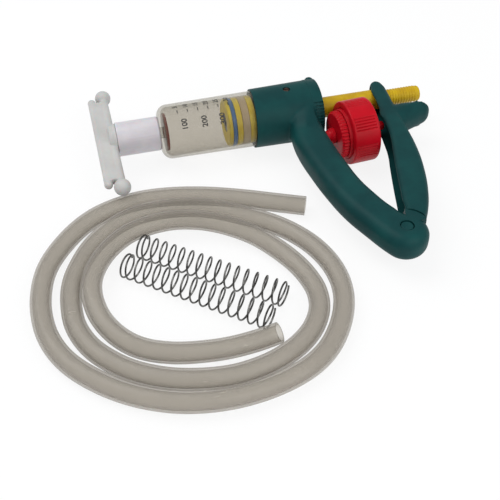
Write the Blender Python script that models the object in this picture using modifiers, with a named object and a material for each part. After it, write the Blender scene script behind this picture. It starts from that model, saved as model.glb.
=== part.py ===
"""Pour-on applicator: a hand-squeezed dosing gun for livestock, with its feed hose and two hose springs.

The barrel's axis runs along X at AXIS_HEIGHT over the floor, with the spray bar at the -X end and the hose
tail at the +X end. The handle lies flat towards -Y. All X and Y values below are counted from the layout's
own zero, which is on the barrel's axis at the rear face of the sleeve; LAYOUT_X and LAYOUT_Y put the middle
of everything but the hose over the world's origin. Sizes are in millimetres times MM.
"""
import math

import bmesh
import bpy
from mathutils import Matrix, Vector

MM = 0.001
CLEAR = 0.3 * MM
MERGE = 0.01 * MM

# Place of the whole layout in the world
LAYOUT_X = 39.25 * MM
LAYOUT_Y = 53.25 * MM
FLOOR_GAP = 0.2 * MM

# Facets
ROUND = 30
FINE = 20
SMALL = 12

# Barrel
BORE_R = 15.5 * MM
BARREL_WALL_FRONT = 1.5 * MM
BARREL_WALL_REAR = 2.1 * MM
BARREL_FRONT_R = BORE_R + BARREL_WALL_FRONT
BARREL_REAR_R = BORE_R + BARREL_WALL_REAR
BARREL_FRONT_X = -105.5 * MM
BARREL_REAR_X = -8.0 * MM
SHOULDER_R = 6.5 * MM
FRONT_WALL = 2.8 * MM
OUTLET_R = 3.5 * MM
BOSS_R = 8.0 * MM
BOSS_BORE_R = 6.2 * MM
BOSS_LENGTH = 11.0 * MM
SEAL_THICKNESS = 1.8 * MM

# Nose and spray bar
CAP_R = 10.65 * MM
CAP_RIBS = 24
CAP_RIB_DEPTH = 0.5 * MM
CAP_FRONT_X = -131.0 * MM
CAP_SHOULDER_X = -117.5 * MM
CAP_THROAT_R = 2.5 * MM
SOCKET_DEPTH = 10.0 * MM
STUB_R = 4.0 * MM
BAR_X = -135.2 * MM
BAR_R = 2.7 * MM
BALL_Y = 45.5 * MM
BALL_R = 4.5 * MM
RAIL_X = -141.7 * MM
RAIL_R = 2.3 * MM
RAIL_HALF = 41.0 * MM
WEB_HALF_T = 1.1 * MM
WEB_HALF_LENGTH = 38.0 * MM
CHANNEL_R = 1.3 * MM
OUTLET_HOLE_R = 0.8 * MM
COLLAR_R = 8.6 * MM

# Outlet valve in the barrel's boss
OUTLET_DISC_R = 5.4 * MM
OUTLET_STEM_R = 1.3 * MM
DISC_T = 1.6 * MM
OUTLET_STEM = 5.0 * MM
VALVE_WIRE_R = 0.25 * MM
VALVE_TURNS = 4

# Sleeve
SLEEVE_FRONT_X = -46.7 * MM
SLEEVE_REAR_X = -5.2 * MM
SLEEVE_WALL_FRONT = 1.1 * MM
SLEEVE_WALL_REAR = 1.9 * MM
SLEEVE_FRONT_R = BARREL_REAR_R + SLEEVE_WALL_FRONT
SLEEVE_REAR_R = BARREL_REAR_R + SLEEVE_WALL_REAR
SLEEVE_EDGE = 0.8 * MM
LUG_R = 4.6 * MM
LUG_X = SLEEVE_REAR_X - LUG_R
LUG_PROUD = 2.2 * MM
LUG_ANGLE = 50.0
SCREW_X = -23.0 * MM
SCREW_R = 2.0 * MM

# Rear cap
CAP_BAND_RIBS = 30
CAP_BAND_RIB_DEPTH = 0.6 * MM
SPIGOT_LENGTH = 2.6 * MM

# Piston
PISTON_PLAY = 0.5 * MM
PISTON_R = BORE_R - PISTON_PLAY
PISTON_FRONT_X = -63.0 * MM
PISTON_REAR_X = -45.5 * MM
FRONT_LAND = 2.2 * MM
O_GROOVE = 2.9 * MM
MID_LAND = 3.4 * MM
GUIDE_GROOVE = 5.0 * MM
RING_WIRE_R = 1.4 * MM
RING_PLAY = 0.7 * MM
GUIDE_WALL = 1.9 * MM
GROOVE_FLOOR_R = BORE_R - RING_PLAY - 2.0 * RING_WIRE_R
GUIDE_FLOOR_R = BORE_R - GUIDE_WALL - 2.0 * CLEAR
CHAMBER_R = 6.2 * MM
CHAMBER_DEPTH = 6.5 * MM
SEAT_T = 2.2 * MM
INLET_DISC_R = 4.6 * MM
INLET_STEM_R = 1.2 * MM
INLET_STEM = 2.4 * MM
RETAINER_T = 0.9 * MM

# Rod and hose tail
ROD_R = 6.6 * MM
ROD_BORE_R = 2.0 * MM
SPIGOT_R = 4.2 * MM
TAIL_R = 5.0 * MM
TAIL_END_X = 67.9 * MM
BARB_R = 5.45 * MM
BARB_PITCH = 3.6 * MM
BARBS = 6

# Handle pivot and fixed leg
PIVOT_X = 10.3 * MM
PIVOT_Y = -124.3 * MM
EYE_R = 13.0 * MM
HANDLE_HALF_T = 9.0 * MM
HANDLE_ROUND = 5.5 * MM
TONGUE_R = 12.5 * MM
TONGUE_HALF_T = 5.0 * MM
PIN_R = 2.9 * MM
PIN_HEAD_R = 3.7 * MM
PIN_HEAD_T = 1.6 * MM
PIN_SUNK = 0.5 * MM
TORSION_R = 4.8 * MM
TORSION_WIRE_R = 0.7 * MM
TORSION_TURNS = 2
TORSION_LEVER_ARM = (9.2 * MM, 20.0 * MM)
TORSION_LEG_BEND = (1.2 * MM, 4.0 * MM)
TORSION_LEG_ARM = (-12.0 * MM, 5.6 * MM)

# Lever
LEVER_HALF_T = 9.5 * MM
LEVER_ROUND = 2.6 * MM
CHANNEL_HALF_T = 7.1 * MM
LEVER_WALL = 3.0 * MM
LEVER_BACK_X = 43.6 * MM
SHOULDER_GAP = 0.5 * MM
ROD_SHOULDER_X = LEVER_BACK_X - LEVER_WALL - SHOULDER_GAP
HORN_HALF_T = 5.0 * MM
HORN_ROUND = 2.4 * MM
CHEEK_GAP = 0.5 * MM
SLOT_GAP = 1.2 * MM
PASSAGE_GAP = 0.45 * MM
PASSAGE_STRETCH = 2.2 * MM
PASSAGE_Y = -0.6 * MM
PASSAGE_HALF = 8.0 * MM
BEYOND = 1.0 * MM

# Dose wheel
WHEEL_X = 15.3 * MM
WHEEL_Y = -28.2 * MM
WHEEL_TILT = 4.0
WHEEL_R = 20.0 * MM
WHEEL_HALF_T = 8.5 * MM
WHEEL_LIP = 1.6 * MM
WHEEL_PANELS = 6
GROOVES_PER_PANEL = 5
GROOVE_STEP = 5.4
GROOVE_R = 0.55 * MM
HUB_R = 14.85 * MM
HUB_T = 5.0 * MM
HUB_RIBS = 30
STUD_R = 5.0 * MM
STUD_NECK_R = 3.6 * MM
STUD_SEAT = 4.0 * MM
STUD_ROUND = 3.0 * MM
LEG_SIDE_X = -5.4 * MM
STOP_PIN_R = 3.2 * MM
STOP_PIN_ROUND = 1.4 * MM
STOP_PIN_TIP = 19.4 * MM
STOP_PIN_TRAVEL = 4.0 * MM

# Hose and hose springs
HOSE_R = 6.0 * MM
GUARD_R = 7.25 * MM
GUARD_WIRE_R = 0.55 * MM
GUARD_TURNS = 17
GUARD_ENDS = (((-131.2, -82.9), (-62.8, -137.6)), ((-142.2, -95.4), (-74.3, -151.2)))

AXIS_HEIGHT = WHEEL_R + FLOOR_GAP

# The fixed leg's outline, from the sleeve down its front side
LEG_FRONT = [(-16.5, -3.0), (-24.0, -7.5), (-27.4, -18.0), (-28.2, -26.0), (-27.4, -40.0), (-24.6, -60.0),
             (-20.9, -79.5), (-15.9, -98.0), (-9.4, -113.5)]
LEG_BACK = [(10.9, -106.4), (8.3, -101.5), (4.6, -92.0), (0.5, -79.0), (-2.3, -62.0), (-4.6, -42.0),
            (-5.4, -30.0), (-5.8, -18.0), (-9.0, -7.5)]
LEVER_FRONT = [(33.6, 3.0), (33.1, -10.0), (32.6, -20.0), (30.7, -40.0), (26.2, -62.0), (22.0, -80.0),
               (17.8, -97.0), (16.2, -105.0), (15.2, -109.6)]
LEVER_BACK = [(27.6, -118.0), (33.4, -102.0), (41.0, -76.0), (44.2, -56.0), (45.3, -42.0), (44.6, -28.0),
              (43.6, -14.0), (43.6, -3.0), (42.8, 5.0)]
LEVER_TOP = [(40.0, 10.6), (36.2, 10.2)]
CHANNEL_FRONT = [(20.0, 7.6), (20.0, -60.0), (8.0, -98.0)]

# Room in the tongue for the return spring's two arms, counted from the pivot
ARM_WAYS = {
    "arm_way_lever": [(-2.0, 0.0), (9.0, 0.0), (13.0, 30.0), (2.0, 30.0)],
    "arm_way_leg": [(0.0, -7.0), (0.0, 7.0), (-16.0, 12.0), (-16.0, -2.0)],
}
HORN = [(41.5, -9.5), (50.0, -9.0), (58.0, -9.4), (64.5, -11.8), (67.3, -16.2), (65.2, -21.0), (58.5, -25.2),
        (50.0, -28.4), (42.5, -31.5)]

# The hose's route on the floor, from the outer end round to the inner end (X, Y and height of the middle)
HOSE_ROUTE = [
    (-31, -72.5, 6.2), (-48, -65, 6.2), (-66, -57, 6.2), (-86, -49.6, 6.2), (-105, -45, 6.2),
    (-123, -43.4, 6.2), (-138, -45.5, 6.2), (-153, -51, 6.2), (-166, -60.5, 6.2), (-178, -74.5, 6.2),
    (-186, -89, 6.2), (-190, -106, 6.2), (-190.5, -122, 6.2), (-188, -137, 6.2), (-182, -151, 6.2),
    (-173, -163, 6.2), (-160, -175, 6.2), (-145, -184.5, 6.2), (-127, -191.5, 6.2), (-106, -194.5, 6.2),
    (-85, -193, 6.2), (-66, -187.5, 6.2), (-51.5, -178.5, 6.2), (-40.5, -165.5, 6.2), (-33, -150.5, 6.2),
    (-30, -136, 6.2), (-31, -121, 6.2), (-36, -106, 6.2), (-44.5, -92.5, 6.2), (-55.5, -81.5, 6.5),
    (-69.5, -72.5, 7.5), (-85.5, -63.5, 8.2), (-101, -58.5, 8.5), (-118, -56.8, 8.5), (-133, -58.5, 8.0),
    (-147, -65, 7.2), (-158.5, -75, 6.3), (-167, -88, 6.2), (-172.5, -101, 6.2), (-174.7, -115, 6.2),
    (-174, -131, 6.2), (-168.5, -146, 6.2), (-159.5, -158, 6.2), (-148, -168, 6.2), (-133, -175.8, 6.2),
    (-117, -180.3, 6.2), (-101, -182, 6.2), (-86, -180.3, 6.2), (-74, -176.5, 6.2), (-63, -170.5, 6.2),
    (-54, -162.5, 6.2), (-47.4, -152, 6.2), (-44.8, -141, 6.2), (-45.6, -130, 6.2), (-49.5, -117, 6.2),
    (-57, -103, 6.5), (-67, -91, 8.0), (-79.5, -81.5, 9.5), (-93, -74.5, 10.5), (-108, -70.5, 11.0),
    (-122, -70.5, 11.0), (-136, -74, 10.8), (-147.5, -82, 10.8), (-156, -92.5, 11.0), (-161.3, -104, 11.3),
    (-163, -116, 11.3), (-161.5, -129, 10.8), (-157, -140, 9.5), (-149.7, -149.5, 8.2), (-140.5, -156, 7.0),
    (-128.5, -160.5, 6.2), (-116, -163.2, 6.2), (-101, -164.6, 6.2), (-86, -163.8, 6.2), (-72, -161.5, 6.2),
]

COLOURS = {
    "green_moulding": ((0.010, 0.063, 0.060), 0.45, 0.0),
    "yellow_moulding": ((0.66, 0.41, 0.008), 0.45, 0.0),
    "red_moulding": ((0.52, 0.008, 0.021), 0.4, 0.0),
    "white_moulding": ((0.60, 0.58, 0.54), 0.5, 0.0),
    "pale_nylon": ((0.62, 0.58, 0.62), 0.4, 0.0),
    "clear_plastic": ((0.80, 0.78, 0.70), 0.1, 0.0),
    "blue_rubber": ((0.08, 0.16, 0.42), 0.5, 0.0),
    "brown_rubber": ((0.22, 0.03, 0.02), 0.6, 0.0),
    "spring_steel": ((0.30, 0.30, 0.29), 0.35, 1.0),
    "dark_steel": ((0.05, 0.05, 0.05), 0.4, 1.0),
    "hose_pvc": ((0.33, 0.30, 0.29), 0.2, 0.0),
}

for leftover in list(bpy.data.objects):
    bpy.data.objects.remove(leftover, do_unlink=True)

PARTS = bpy.data.collections.new("pour_on_applicator")
TOOLS = bpy.data.collections.new("cutters")
bpy.context.scene.collection.children.link(PARTS)
bpy.context.scene.collection.children.link(TOOLS)


def material(name):
    """Return the named material, made once from COLOURS."""
    found = bpy.data.materials.get(name)
    if found:
        return found
    colour, roughness, metallic = COLOURS[name]
    made = bpy.data.materials.new(name)
    made.use_nodes = True
    shader = made.node_tree.nodes["Principled BSDF"]
    shader.inputs["Base Color"].default_value = (*colour, 1.0)
    shader.inputs["Roughness"].default_value = roughness
    shader.inputs["Metallic"].default_value = metallic
    return made


def empty(name, parent=None, at=(0.0, 0.0, 0.0), turn=0.0):
    """Make a guide point that others hang from; turn is about Z, in degrees."""
    guide = bpy.data.objects.new(name, None)
    guide.empty_display_size = 0.01
    PARTS.objects.link(guide)
    guide.parent = parent
    guide.location = at
    guide.rotation_euler = (0.0, 0.0, math.radians(turn))
    return guide


LAYOUT = empty("layout", at=(LAYOUT_X, LAYOUT_Y, AXIS_HEIGHT))
ALONG_X = (0.0, math.pi / 2.0, 0.0)


def place(obj, parent, at=(0.0, 0.0, 0.0), rotation=(0.0, 0.0, 0.0)):
    """Hang an object from its parent at a place and rotation."""
    obj.parent = parent
    obj.location = at
    obj.rotation_euler = rotation
    return obj


def add_mesh(name, mesh, collection):
    """Link a new object that holds the mesh."""
    obj = bpy.data.objects.new(name, mesh)
    collection.objects.link(obj)
    return obj


def paint(obj, finish, smooth=True):
    """Give an object its material, and smooth shading with sharp edges where it turns."""
    obj.data.materials.clear()
    obj.data.materials.append(material(finish))
    if smooth:
        obj.data.shade_smooth()
        obj.data.set_sharp_from_angle(angle=math.radians(35.0))
    return obj


def as_mesh(obj, name, collection):
    """Replace an object by the mesh that its curve or modifiers make, welded, in the same place."""
    bpy.context.view_layer.update()
    graph = bpy.context.evaluated_depsgraph_get()
    mesh = bpy.data.meshes.new_from_object(obj.evaluated_get(graph))
    work = bmesh.new()
    work.from_mesh(mesh)
    bmesh.ops.remove_doubles(work, verts=work.verts, dist=MERGE)
    bmesh.ops.recalc_face_normals(work, faces=work.faces)
    work.to_mesh(mesh)
    work.free()
    matrix = obj.matrix_world.copy()
    bpy.data.objects.remove(obj, do_unlink=True)
    made = add_mesh(name, mesh, collection)
    made.matrix_world = matrix
    return made


def turned(name, outer, bore=None, steps=ROUND, collection=PARTS):
    """Turn a profile of (x, radius) pairs round the X axis.

    outer runs from the +X end to the -X end. bore, when given, runs back from the -X end to the +X end.
    """
    points = list(outer)
    if bore:
        points += bore
    else:
        points = [(outer[0][0], 0.0)] + points + [(outer[-1][0], 0.0)]
    vertices = [(radius, 0.0, x) for x, radius in points]
    edges = [(i, i + 1) for i in range(len(points) - 1)]
    if bore:
        edges.append((len(points) - 1, 0))
    mesh = bpy.data.meshes.new(name)
    mesh.from_pydata(vertices, edges, [])
    obj = add_mesh(name, mesh, collection)
    obj.rotation_euler = ALONG_X
    screw = obj.modifiers.new("turn", "SCREW")
    screw.steps = steps
    screw.render_steps = steps
    screw.use_merge_vertices = True
    screw.merge_threshold = MERGE
    return as_mesh(obj, name, collection)


def arc(x, radius, size, start, end, count):
    """Points on a quarter or other arc of a profile, by angle in degrees from +X towards +radius."""
    step = (end - start) / count
    angles = [math.radians(start + i * step) for i in range(count + 1)]
    return [(x + size * math.cos(a), radius + size * math.sin(a)) for a in angles]


def outline(name, loops, half_thickness, rounding=0.0, steps=2, smooth_points=False):
    """Make a flat solid from closed loops of (x, y) points, with rounded edges if asked."""
    data = bpy.data.curves.new(name, "CURVE")
    data.dimensions = "2D"
    data.fill_mode = "BOTH"
    data.extrude = half_thickness - rounding
    data.bevel_depth = rounding
    data.offset = -rounding
    data.bevel_resolution = steps
    data.resolution_u = 3
    for loop in loops:
        if smooth_points:
            spline = data.splines.new("BEZIER")
            spline.bezier_points.add(len(loop) - 1)
            for point, (x, y) in zip(spline.bezier_points, loop):
                point.co = (x, y, 0.0)
                point.handle_left_type = "AUTO"
                point.handle_right_type = "AUTO"
        else:
            spline = data.splines.new("POLY")
            spline.points.add(len(loop) - 1)
            for point, (x, y) in zip(spline.points, loop):
                point.co = (x, y, 0.0, 1.0)
        spline.use_cyclic_u = True
    obj = bpy.data.objects.new(name, data)
    PARTS.objects.link(obj)
    return obj


def circle(radius, count, x=0.0, y=0.0, start=0.0, end=360.0):
    """Points on a circle or on an arc of it, by angle in degrees."""
    whole = abs(end - start) > 359.9
    step = (end - start) / (count if whole else count - 1)
    angles = [math.radians(start + i * step) for i in range(count)]
    return [(x + radius * math.cos(a), y + radius * math.sin(a)) for a in angles]


def ribbed_circle(radius, depth, ribs):
    """Points of a circle with square-topped ribs."""
    points = []
    step = 360.0 / ribs
    for i in range(ribs):
        for share, reach in ((0.0, radius), (0.42, radius), (0.52, radius - depth), (0.90, radius - depth)):
            a = math.radians((i + share) * step)
            points.append((reach * math.cos(a), reach * math.sin(a)))
    return points


def wire(name, points, radius, sides=2, collection=PARTS):
    """A round wire or tube through points, with filled ends."""
    data = bpy.data.curves.new(name, "CURVE")
    data.dimensions = "3D"
    data.bevel_depth = radius
    data.bevel_resolution = sides
    data.use_fill_caps = True
    spline = data.splines.new("POLY")
    spline.points.add(len(points) - 1)
    for point, co in zip(spline.points, points):
        point.co = (*co, 1.0)
    obj = bpy.data.objects.new(name, data)
    collection.objects.link(obj)
    return obj


def coil(length, radius, turns, per_turn=10, closed_turns=0.0):
    """Points of a compression spring along local X, with closed end turns if asked."""
    total = turns * per_turn
    pitch_wire = 2.3 * GUARD_WIRE_R
    dead = closed_turns * pitch_wire
    points = []
    for i in range(total + 1):
        turn = i / per_turn
        if turn < closed_turns:
            x = turn * pitch_wire
        elif turn > turns - closed_turns:
            x = length - (turns - turn) * pitch_wire
        else:
            share = (turn - closed_turns) / (turns - 2.0 * closed_turns)
            x = dead + share * (length - 2.0 * dead)
        a = 2.0 * math.pi * turn
        points.append((x, radius * math.cos(a), radius * math.sin(a)))
    return points


def boolean(obj, cutter, operation="DIFFERENCE"):
    """Cut or join with another object, which becomes a hidden guide."""
    cut = obj.modifiers.new(operation.lower(), "BOOLEAN")
    cut.operation = operation
    cut.solver = "EXACT"
    cut.object = cutter
    hide(cutter)
    return obj


def hide(cutter):
    """Turn an object into a cutter in the cutters' collection."""
    cutter.hide_render = True
    cutter.display_type = "WIRE"
    for collection in list(cutter.users_collection):
        collection.objects.unlink(cutter)
    TOOLS.objects.link(cutter)


def rod_along(name, radius, start, end, steps=SMALL):
    """A plain round rod between two points, for cutting and joining."""
    start = Vector(start)
    axis = Vector(end) - start
    work = bmesh.new()
    bmesh.ops.create_cone(work, cap_ends=True, segments=steps, radius1=radius, radius2=radius, depth=axis.length)
    turn = axis.to_track_quat("Z", "Y").to_matrix().to_4x4()
    work.transform(Matrix.Translation(start + axis / 2.0) @ turn)
    mesh = bpy.data.meshes.new(name)
    work.to_mesh(mesh)
    work.free()
    return add_mesh(name, mesh, TOOLS)


def make_barrel():
    """The clear barrel: rounded front shoulder, thick front wall, threaded boss for the nose."""
    face = BARREL_FRONT_X
    corner = arc(face + SHOULDER_R, BARREL_FRONT_R - SHOULDER_R, SHOULDER_R, 90.0, 180.0, 5)
    outer = [(BARREL_REAR_X, BARREL_REAR_R), (SLEEVE_FRONT_X, BARREL_REAR_R)] + corner
    outer += [(face, BOSS_R), (face - BOSS_LENGTH, BOSS_R)]
    inner_corner = SHOULDER_R - FRONT_WALL
    bore = [(face - BOSS_LENGTH, BOSS_BORE_R), (face, BOSS_BORE_R), (face, OUTLET_R), (face + FRONT_WALL, OUTLET_R)]
    bore += arc(face + FRONT_WALL + inner_corner, BORE_R - inner_corner, inner_corner, 180.0, 90.0, 3)
    bore += [(BARREL_REAR_X, BORE_R)]
    barrel = turned("barrel", outer, bore)
    place(paint(barrel, "clear_plastic"), LAYOUT, rotation=ALONG_X)

    seal_x = face + FRONT_WALL + CLEAR
    seal_r = BORE_R - inner_corner
    seal = turned("front_seal", [(seal_x + SEAL_THICKNESS, seal_r), (seal_x, seal_r)],
                  [(seal_x, OUTLET_R + CLEAR), (seal_x + SEAL_THICKNESS, OUTLET_R + CLEAR)], steps=FINE)
    place(paint(seal, "brown_rubber"), LAYOUT, rotation=ALONG_X)


def make_nose():
    """The ribbed cap on the barrel's boss, with the outlet valve and its spring inside."""
    rear = BARREL_FRONT_X - CLEAR
    length = rear - CAP_FRONT_X
    cap = outline("nozzle_cap_blank", [ribbed_circle(CAP_R, CAP_RIB_DEPTH, CAP_RIBS)], length / 2.0)
    cap = as_mesh(cap, "nozzle_cap", PARTS)
    place(cap, LAYOUT, at=((rear + CAP_FRONT_X) / 2.0, 0.0, 0.0), rotation=ALONG_X)
    beyond = 2.0 * MM
    inner_r = BOSS_R + CLEAR
    socket_r = STUB_R + CLEAR
    socket_x = CAP_FRONT_X + SOCKET_DEPTH
    hollow = turned("nozzle_cap_bore", [(rear + beyond, inner_r), (CAP_SHOULDER_X, inner_r),
                                        (CAP_SHOULDER_X, CAP_THROAT_R), (socket_x, CAP_THROAT_R),
                                        (socket_x, socket_r), (CAP_FRONT_X - beyond, socket_r)],
                    steps=FINE, collection=TOOLS)
    place(hollow, LAYOUT, rotation=ALONG_X)
    boolean(cap, hollow)
    paint(cap, "pale_nylon")

    seat = BARREL_FRONT_X - CLEAR
    valve = turned("outlet_valve", [(seat, OUTLET_DISC_R), (seat - DISC_T, OUTLET_DISC_R),
                                    (seat - DISC_T, OUTLET_STEM_R),
                                    (seat - DISC_T - OUTLET_STEM, OUTLET_STEM_R)], steps=SMALL)
    place(paint(valve, "pale_nylon"), LAYOUT, rotation=ALONG_X)
    start = seat - DISC_T - VALVE_WIRE_R - CLEAR
    end = CAP_SHOULDER_X + VALVE_WIRE_R + CLEAR
    spring_r = (OUTLET_STEM_R + OUTLET_DISC_R) / 2.0
    spring = wire("outlet_spring", coil(start - end, spring_r, VALVE_TURNS, per_turn=8), VALVE_WIRE_R, sides=0)
    place(paint_curve(spring, "spring_steel"), LAYOUT, at=(end, 0.0, 0.0))


def paint_curve(obj, finish):
    """Give a curve object its material."""
    obj.data.materials.append(material(finish))
    return obj


def make_spray_bar():
    """The T-shaped spray bar: main tube with ball ends, thinner front rail, web, and the stub that plugs in."""
    stub_end = CAP_FRONT_X + SOCKET_DEPTH - CLEAR
    bar = rod_along("spray_bar_blank", BAR_R, (BAR_X, -BALL_Y, 0.0), (BAR_X, BALL_Y, 0.0))
    bar.name = "spray_bar"
    TOOLS.objects.unlink(bar)
    PARTS.objects.link(bar)
    additions = [rod_along("spray_rail", RAIL_R, (RAIL_X, -RAIL_HALF, 0.0), (RAIL_X, RAIL_HALF, 0.0), steps=12)]
    for side in (-1.0, 1.0):
        additions.append(ball("spray_ball", BALL_R, (BAR_X, side * BALL_Y, 0.0)))
        additions.append(ball("spray_rail_end", RAIL_R * 1.08, (RAIL_X, side * RAIL_HALF, 0.0)))
    web = outline("spray_web_blank", [[(RAIL_X, -WEB_HALF_LENGTH), (BAR_X, -WEB_HALF_LENGTH),
                                       (BAR_X, WEB_HALF_LENGTH), (RAIL_X, WEB_HALF_LENGTH)]], WEB_HALF_T)
    additions.append(as_mesh(web, "spray_web", TOOLS))
    collar_x = CAP_FRONT_X - CLEAR
    stub = turned("spray_stub", [(stub_end, STUB_R), (collar_x, STUB_R), (collar_x, COLLAR_R),
                                 (collar_x - 1.0 * MM, COLLAR_R), (BAR_X - BAR_R * 0.2, BAR_R * 1.3)],
                  steps=FINE, collection=TOOLS)
    additions.append(stub)
    for addition in additions:
        boolean(bar, addition, "UNION")
        if addition is stub:
            place(addition, LAYOUT, rotation=ALONG_X)
        else:
            addition.parent = LAYOUT
    holes = [rod_along("spray_feed", CHANNEL_R, (stub_end + 2.0 * MM, 0.0, 0.0), (BAR_X, 0.0, 0.0), steps=8)]
    for side in (-1.0, 1.0):
        holes.append(rod_along("spray_outlet", OUTLET_HOLE_R, (BAR_X, side * BALL_Y, -1.0 * MM),
                               (BAR_X, side * BALL_Y, -BALL_R - 2.0 * MM), steps=8))
    for hole in holes:
        hole.parent = LAYOUT
        boolean(bar, hole)
    place(bar, LAYOUT)
    paint(bar, "white_moulding")


def ball(name, radius, at):
    """A ball, for joining to other shapes."""
    work = bmesh.new()
    bmesh.ops.create_uvsphere(work, u_segments=12, v_segments=8, radius=radius)
    work.transform(Matrix.Translation(at))
    mesh = bpy.data.meshes.new(name)
    work.to_mesh(mesh)
    work.free()
    return add_mesh(name, mesh, TOOLS)


def make_piston():
    """The piston with its rings, the inlet valve in its front, and the hollow rod with the hose tail."""
    front = PISTON_FRONT_X
    groove_a = front + FRONT_LAND
    land_b = groove_a + O_GROOVE
    groove_b = land_b + MID_LAND
    land_c = groove_b + GUIDE_GROOVE
    seat = front + CHAMBER_DEPTH
    stop = seat + SEAT_T
    outer = [(PISTON_REAR_X, PISTON_R), (land_c, PISTON_R), (land_c, GUIDE_FLOOR_R), (groove_b, GUIDE_FLOOR_R),
             (groove_b, PISTON_R), (land_b, PISTON_R), (land_b, GROOVE_FLOOR_R), (groove_a, GROOVE_FLOOR_R),
             (groove_a, PISTON_R), (front, PISTON_R)]
    bore = [(front, CHAMBER_R), (seat, CHAMBER_R), (seat, ROD_BORE_R), (stop, ROD_BORE_R),
            (stop, SPIGOT_R + CLEAR), (PISTON_REAR_X, SPIGOT_R + CLEAR)]
    slide = empty("plunger_slide", LAYOUT)
    place(paint(turned("piston", outer, bore, steps=FINE), "yellow_moulding"), slide, rotation=ALONG_X)

    ring_major = GROOVE_FLOOR_R + CLEAR + RING_WIRE_R
    ring_x = (groove_a + land_b) / 2.0
    section = arc(ring_x, ring_major, RING_WIRE_R, 0.0, 360.0, 6)[:-1]
    ring = turned("piston_ring", section[:1], section[1:])
    place(paint(ring, "blue_rubber"), slide, rotation=ALONG_X)

    guide_r = BORE_R - CLEAR
    guide = turned("guide_ring", [(land_c - CLEAR, guide_r), (groove_b + CLEAR, guide_r)],
                   [(groove_b + CLEAR, GUIDE_FLOOR_R + CLEAR), (land_c - CLEAR, GUIDE_FLOOR_R + CLEAR)], steps=FINE)
    place(paint(guide, "pale_nylon"), slide, rotation=ALONG_X)

    tail_start = ROD_SHOULDER_X + LEVER_WALL + 4.0 * MM
    outer = [(TAIL_END_X, TAIL_R - 0.6 * MM), (TAIL_END_X - 1.0 * MM, TAIL_R)]
    for i in range(BARBS):
        x = TAIL_END_X - 1.6 * MM - i * BARB_PITCH
        outer += [(x, TAIL_R), (x - 0.6 * BARB_PITCH, BARB_R), (x - 0.72 * BARB_PITCH, TAIL_R)]
    outer += [(min(tail_start, outer[-1][0]) - 0.5 * MM, TAIL_R), (ROD_SHOULDER_X, TAIL_R),
              (ROD_SHOULDER_X, ROD_R), (PISTON_REAR_X + CLEAR, ROD_R), (PISTON_REAR_X + CLEAR, SPIGOT_R),
              (stop + CLEAR, SPIGOT_R)]
    bore = [(stop + CLEAR, ROD_BORE_R), (TAIL_END_X, ROD_BORE_R)]
    place(paint(turned("piston_rod", outer, bore, steps=FINE), "yellow_moulding"), slide, rotation=ALONG_X)

    disc = seat - CLEAR
    valve = turned("inlet_valve", [(disc, INLET_DISC_R), (disc - DISC_T, INLET_DISC_R),
                                   (disc - DISC_T, INLET_STEM_R),
                                   (disc - DISC_T - INLET_STEM, INLET_STEM_R)], steps=SMALL)
    place(paint(valve, "pale_nylon"), slide, rotation=ALONG_X)
    keep = front + 0.2 * MM
    retainer = turned("valve_retainer", [(keep + RETAINER_T, CHAMBER_R - CLEAR), (keep, CHAMBER_R - CLEAR)],
                      [(keep, INLET_STEM_R * 2.0), (keep + RETAINER_T, INLET_STEM_R * 2.0)], steps=SMALL)
    place(paint(retainer, "spring_steel"), slide, rotation=ALONG_X)
    start = keep + RETAINER_T + VALVE_WIRE_R + CLEAR
    end = disc - DISC_T - VALVE_WIRE_R - CLEAR
    spring_r = INLET_STEM_R * 2.0 + VALVE_WIRE_R * 2.0
    spring = wire("inlet_spring", coil(end - start, spring_r, 3, per_turn=8), VALVE_WIRE_R, sides=0)
    place(paint_curve(spring, "spring_steel"), slide, at=(start, 0.0, 0.0))


def leg_outline():
    """The fixed leg with its eye: the hand-drawn sides joined by the eye's arc."""
    sides = [(x * MM, y * MM) for x, y in LEG_FRONT]
    back = [(x * MM, y * MM) for x, y in LEG_BACK]
    eye = circle(EYE_R, 7, PIVOT_X, PIVOT_Y, start=205.0, end=435.0)
    return sides + eye + back


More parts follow.
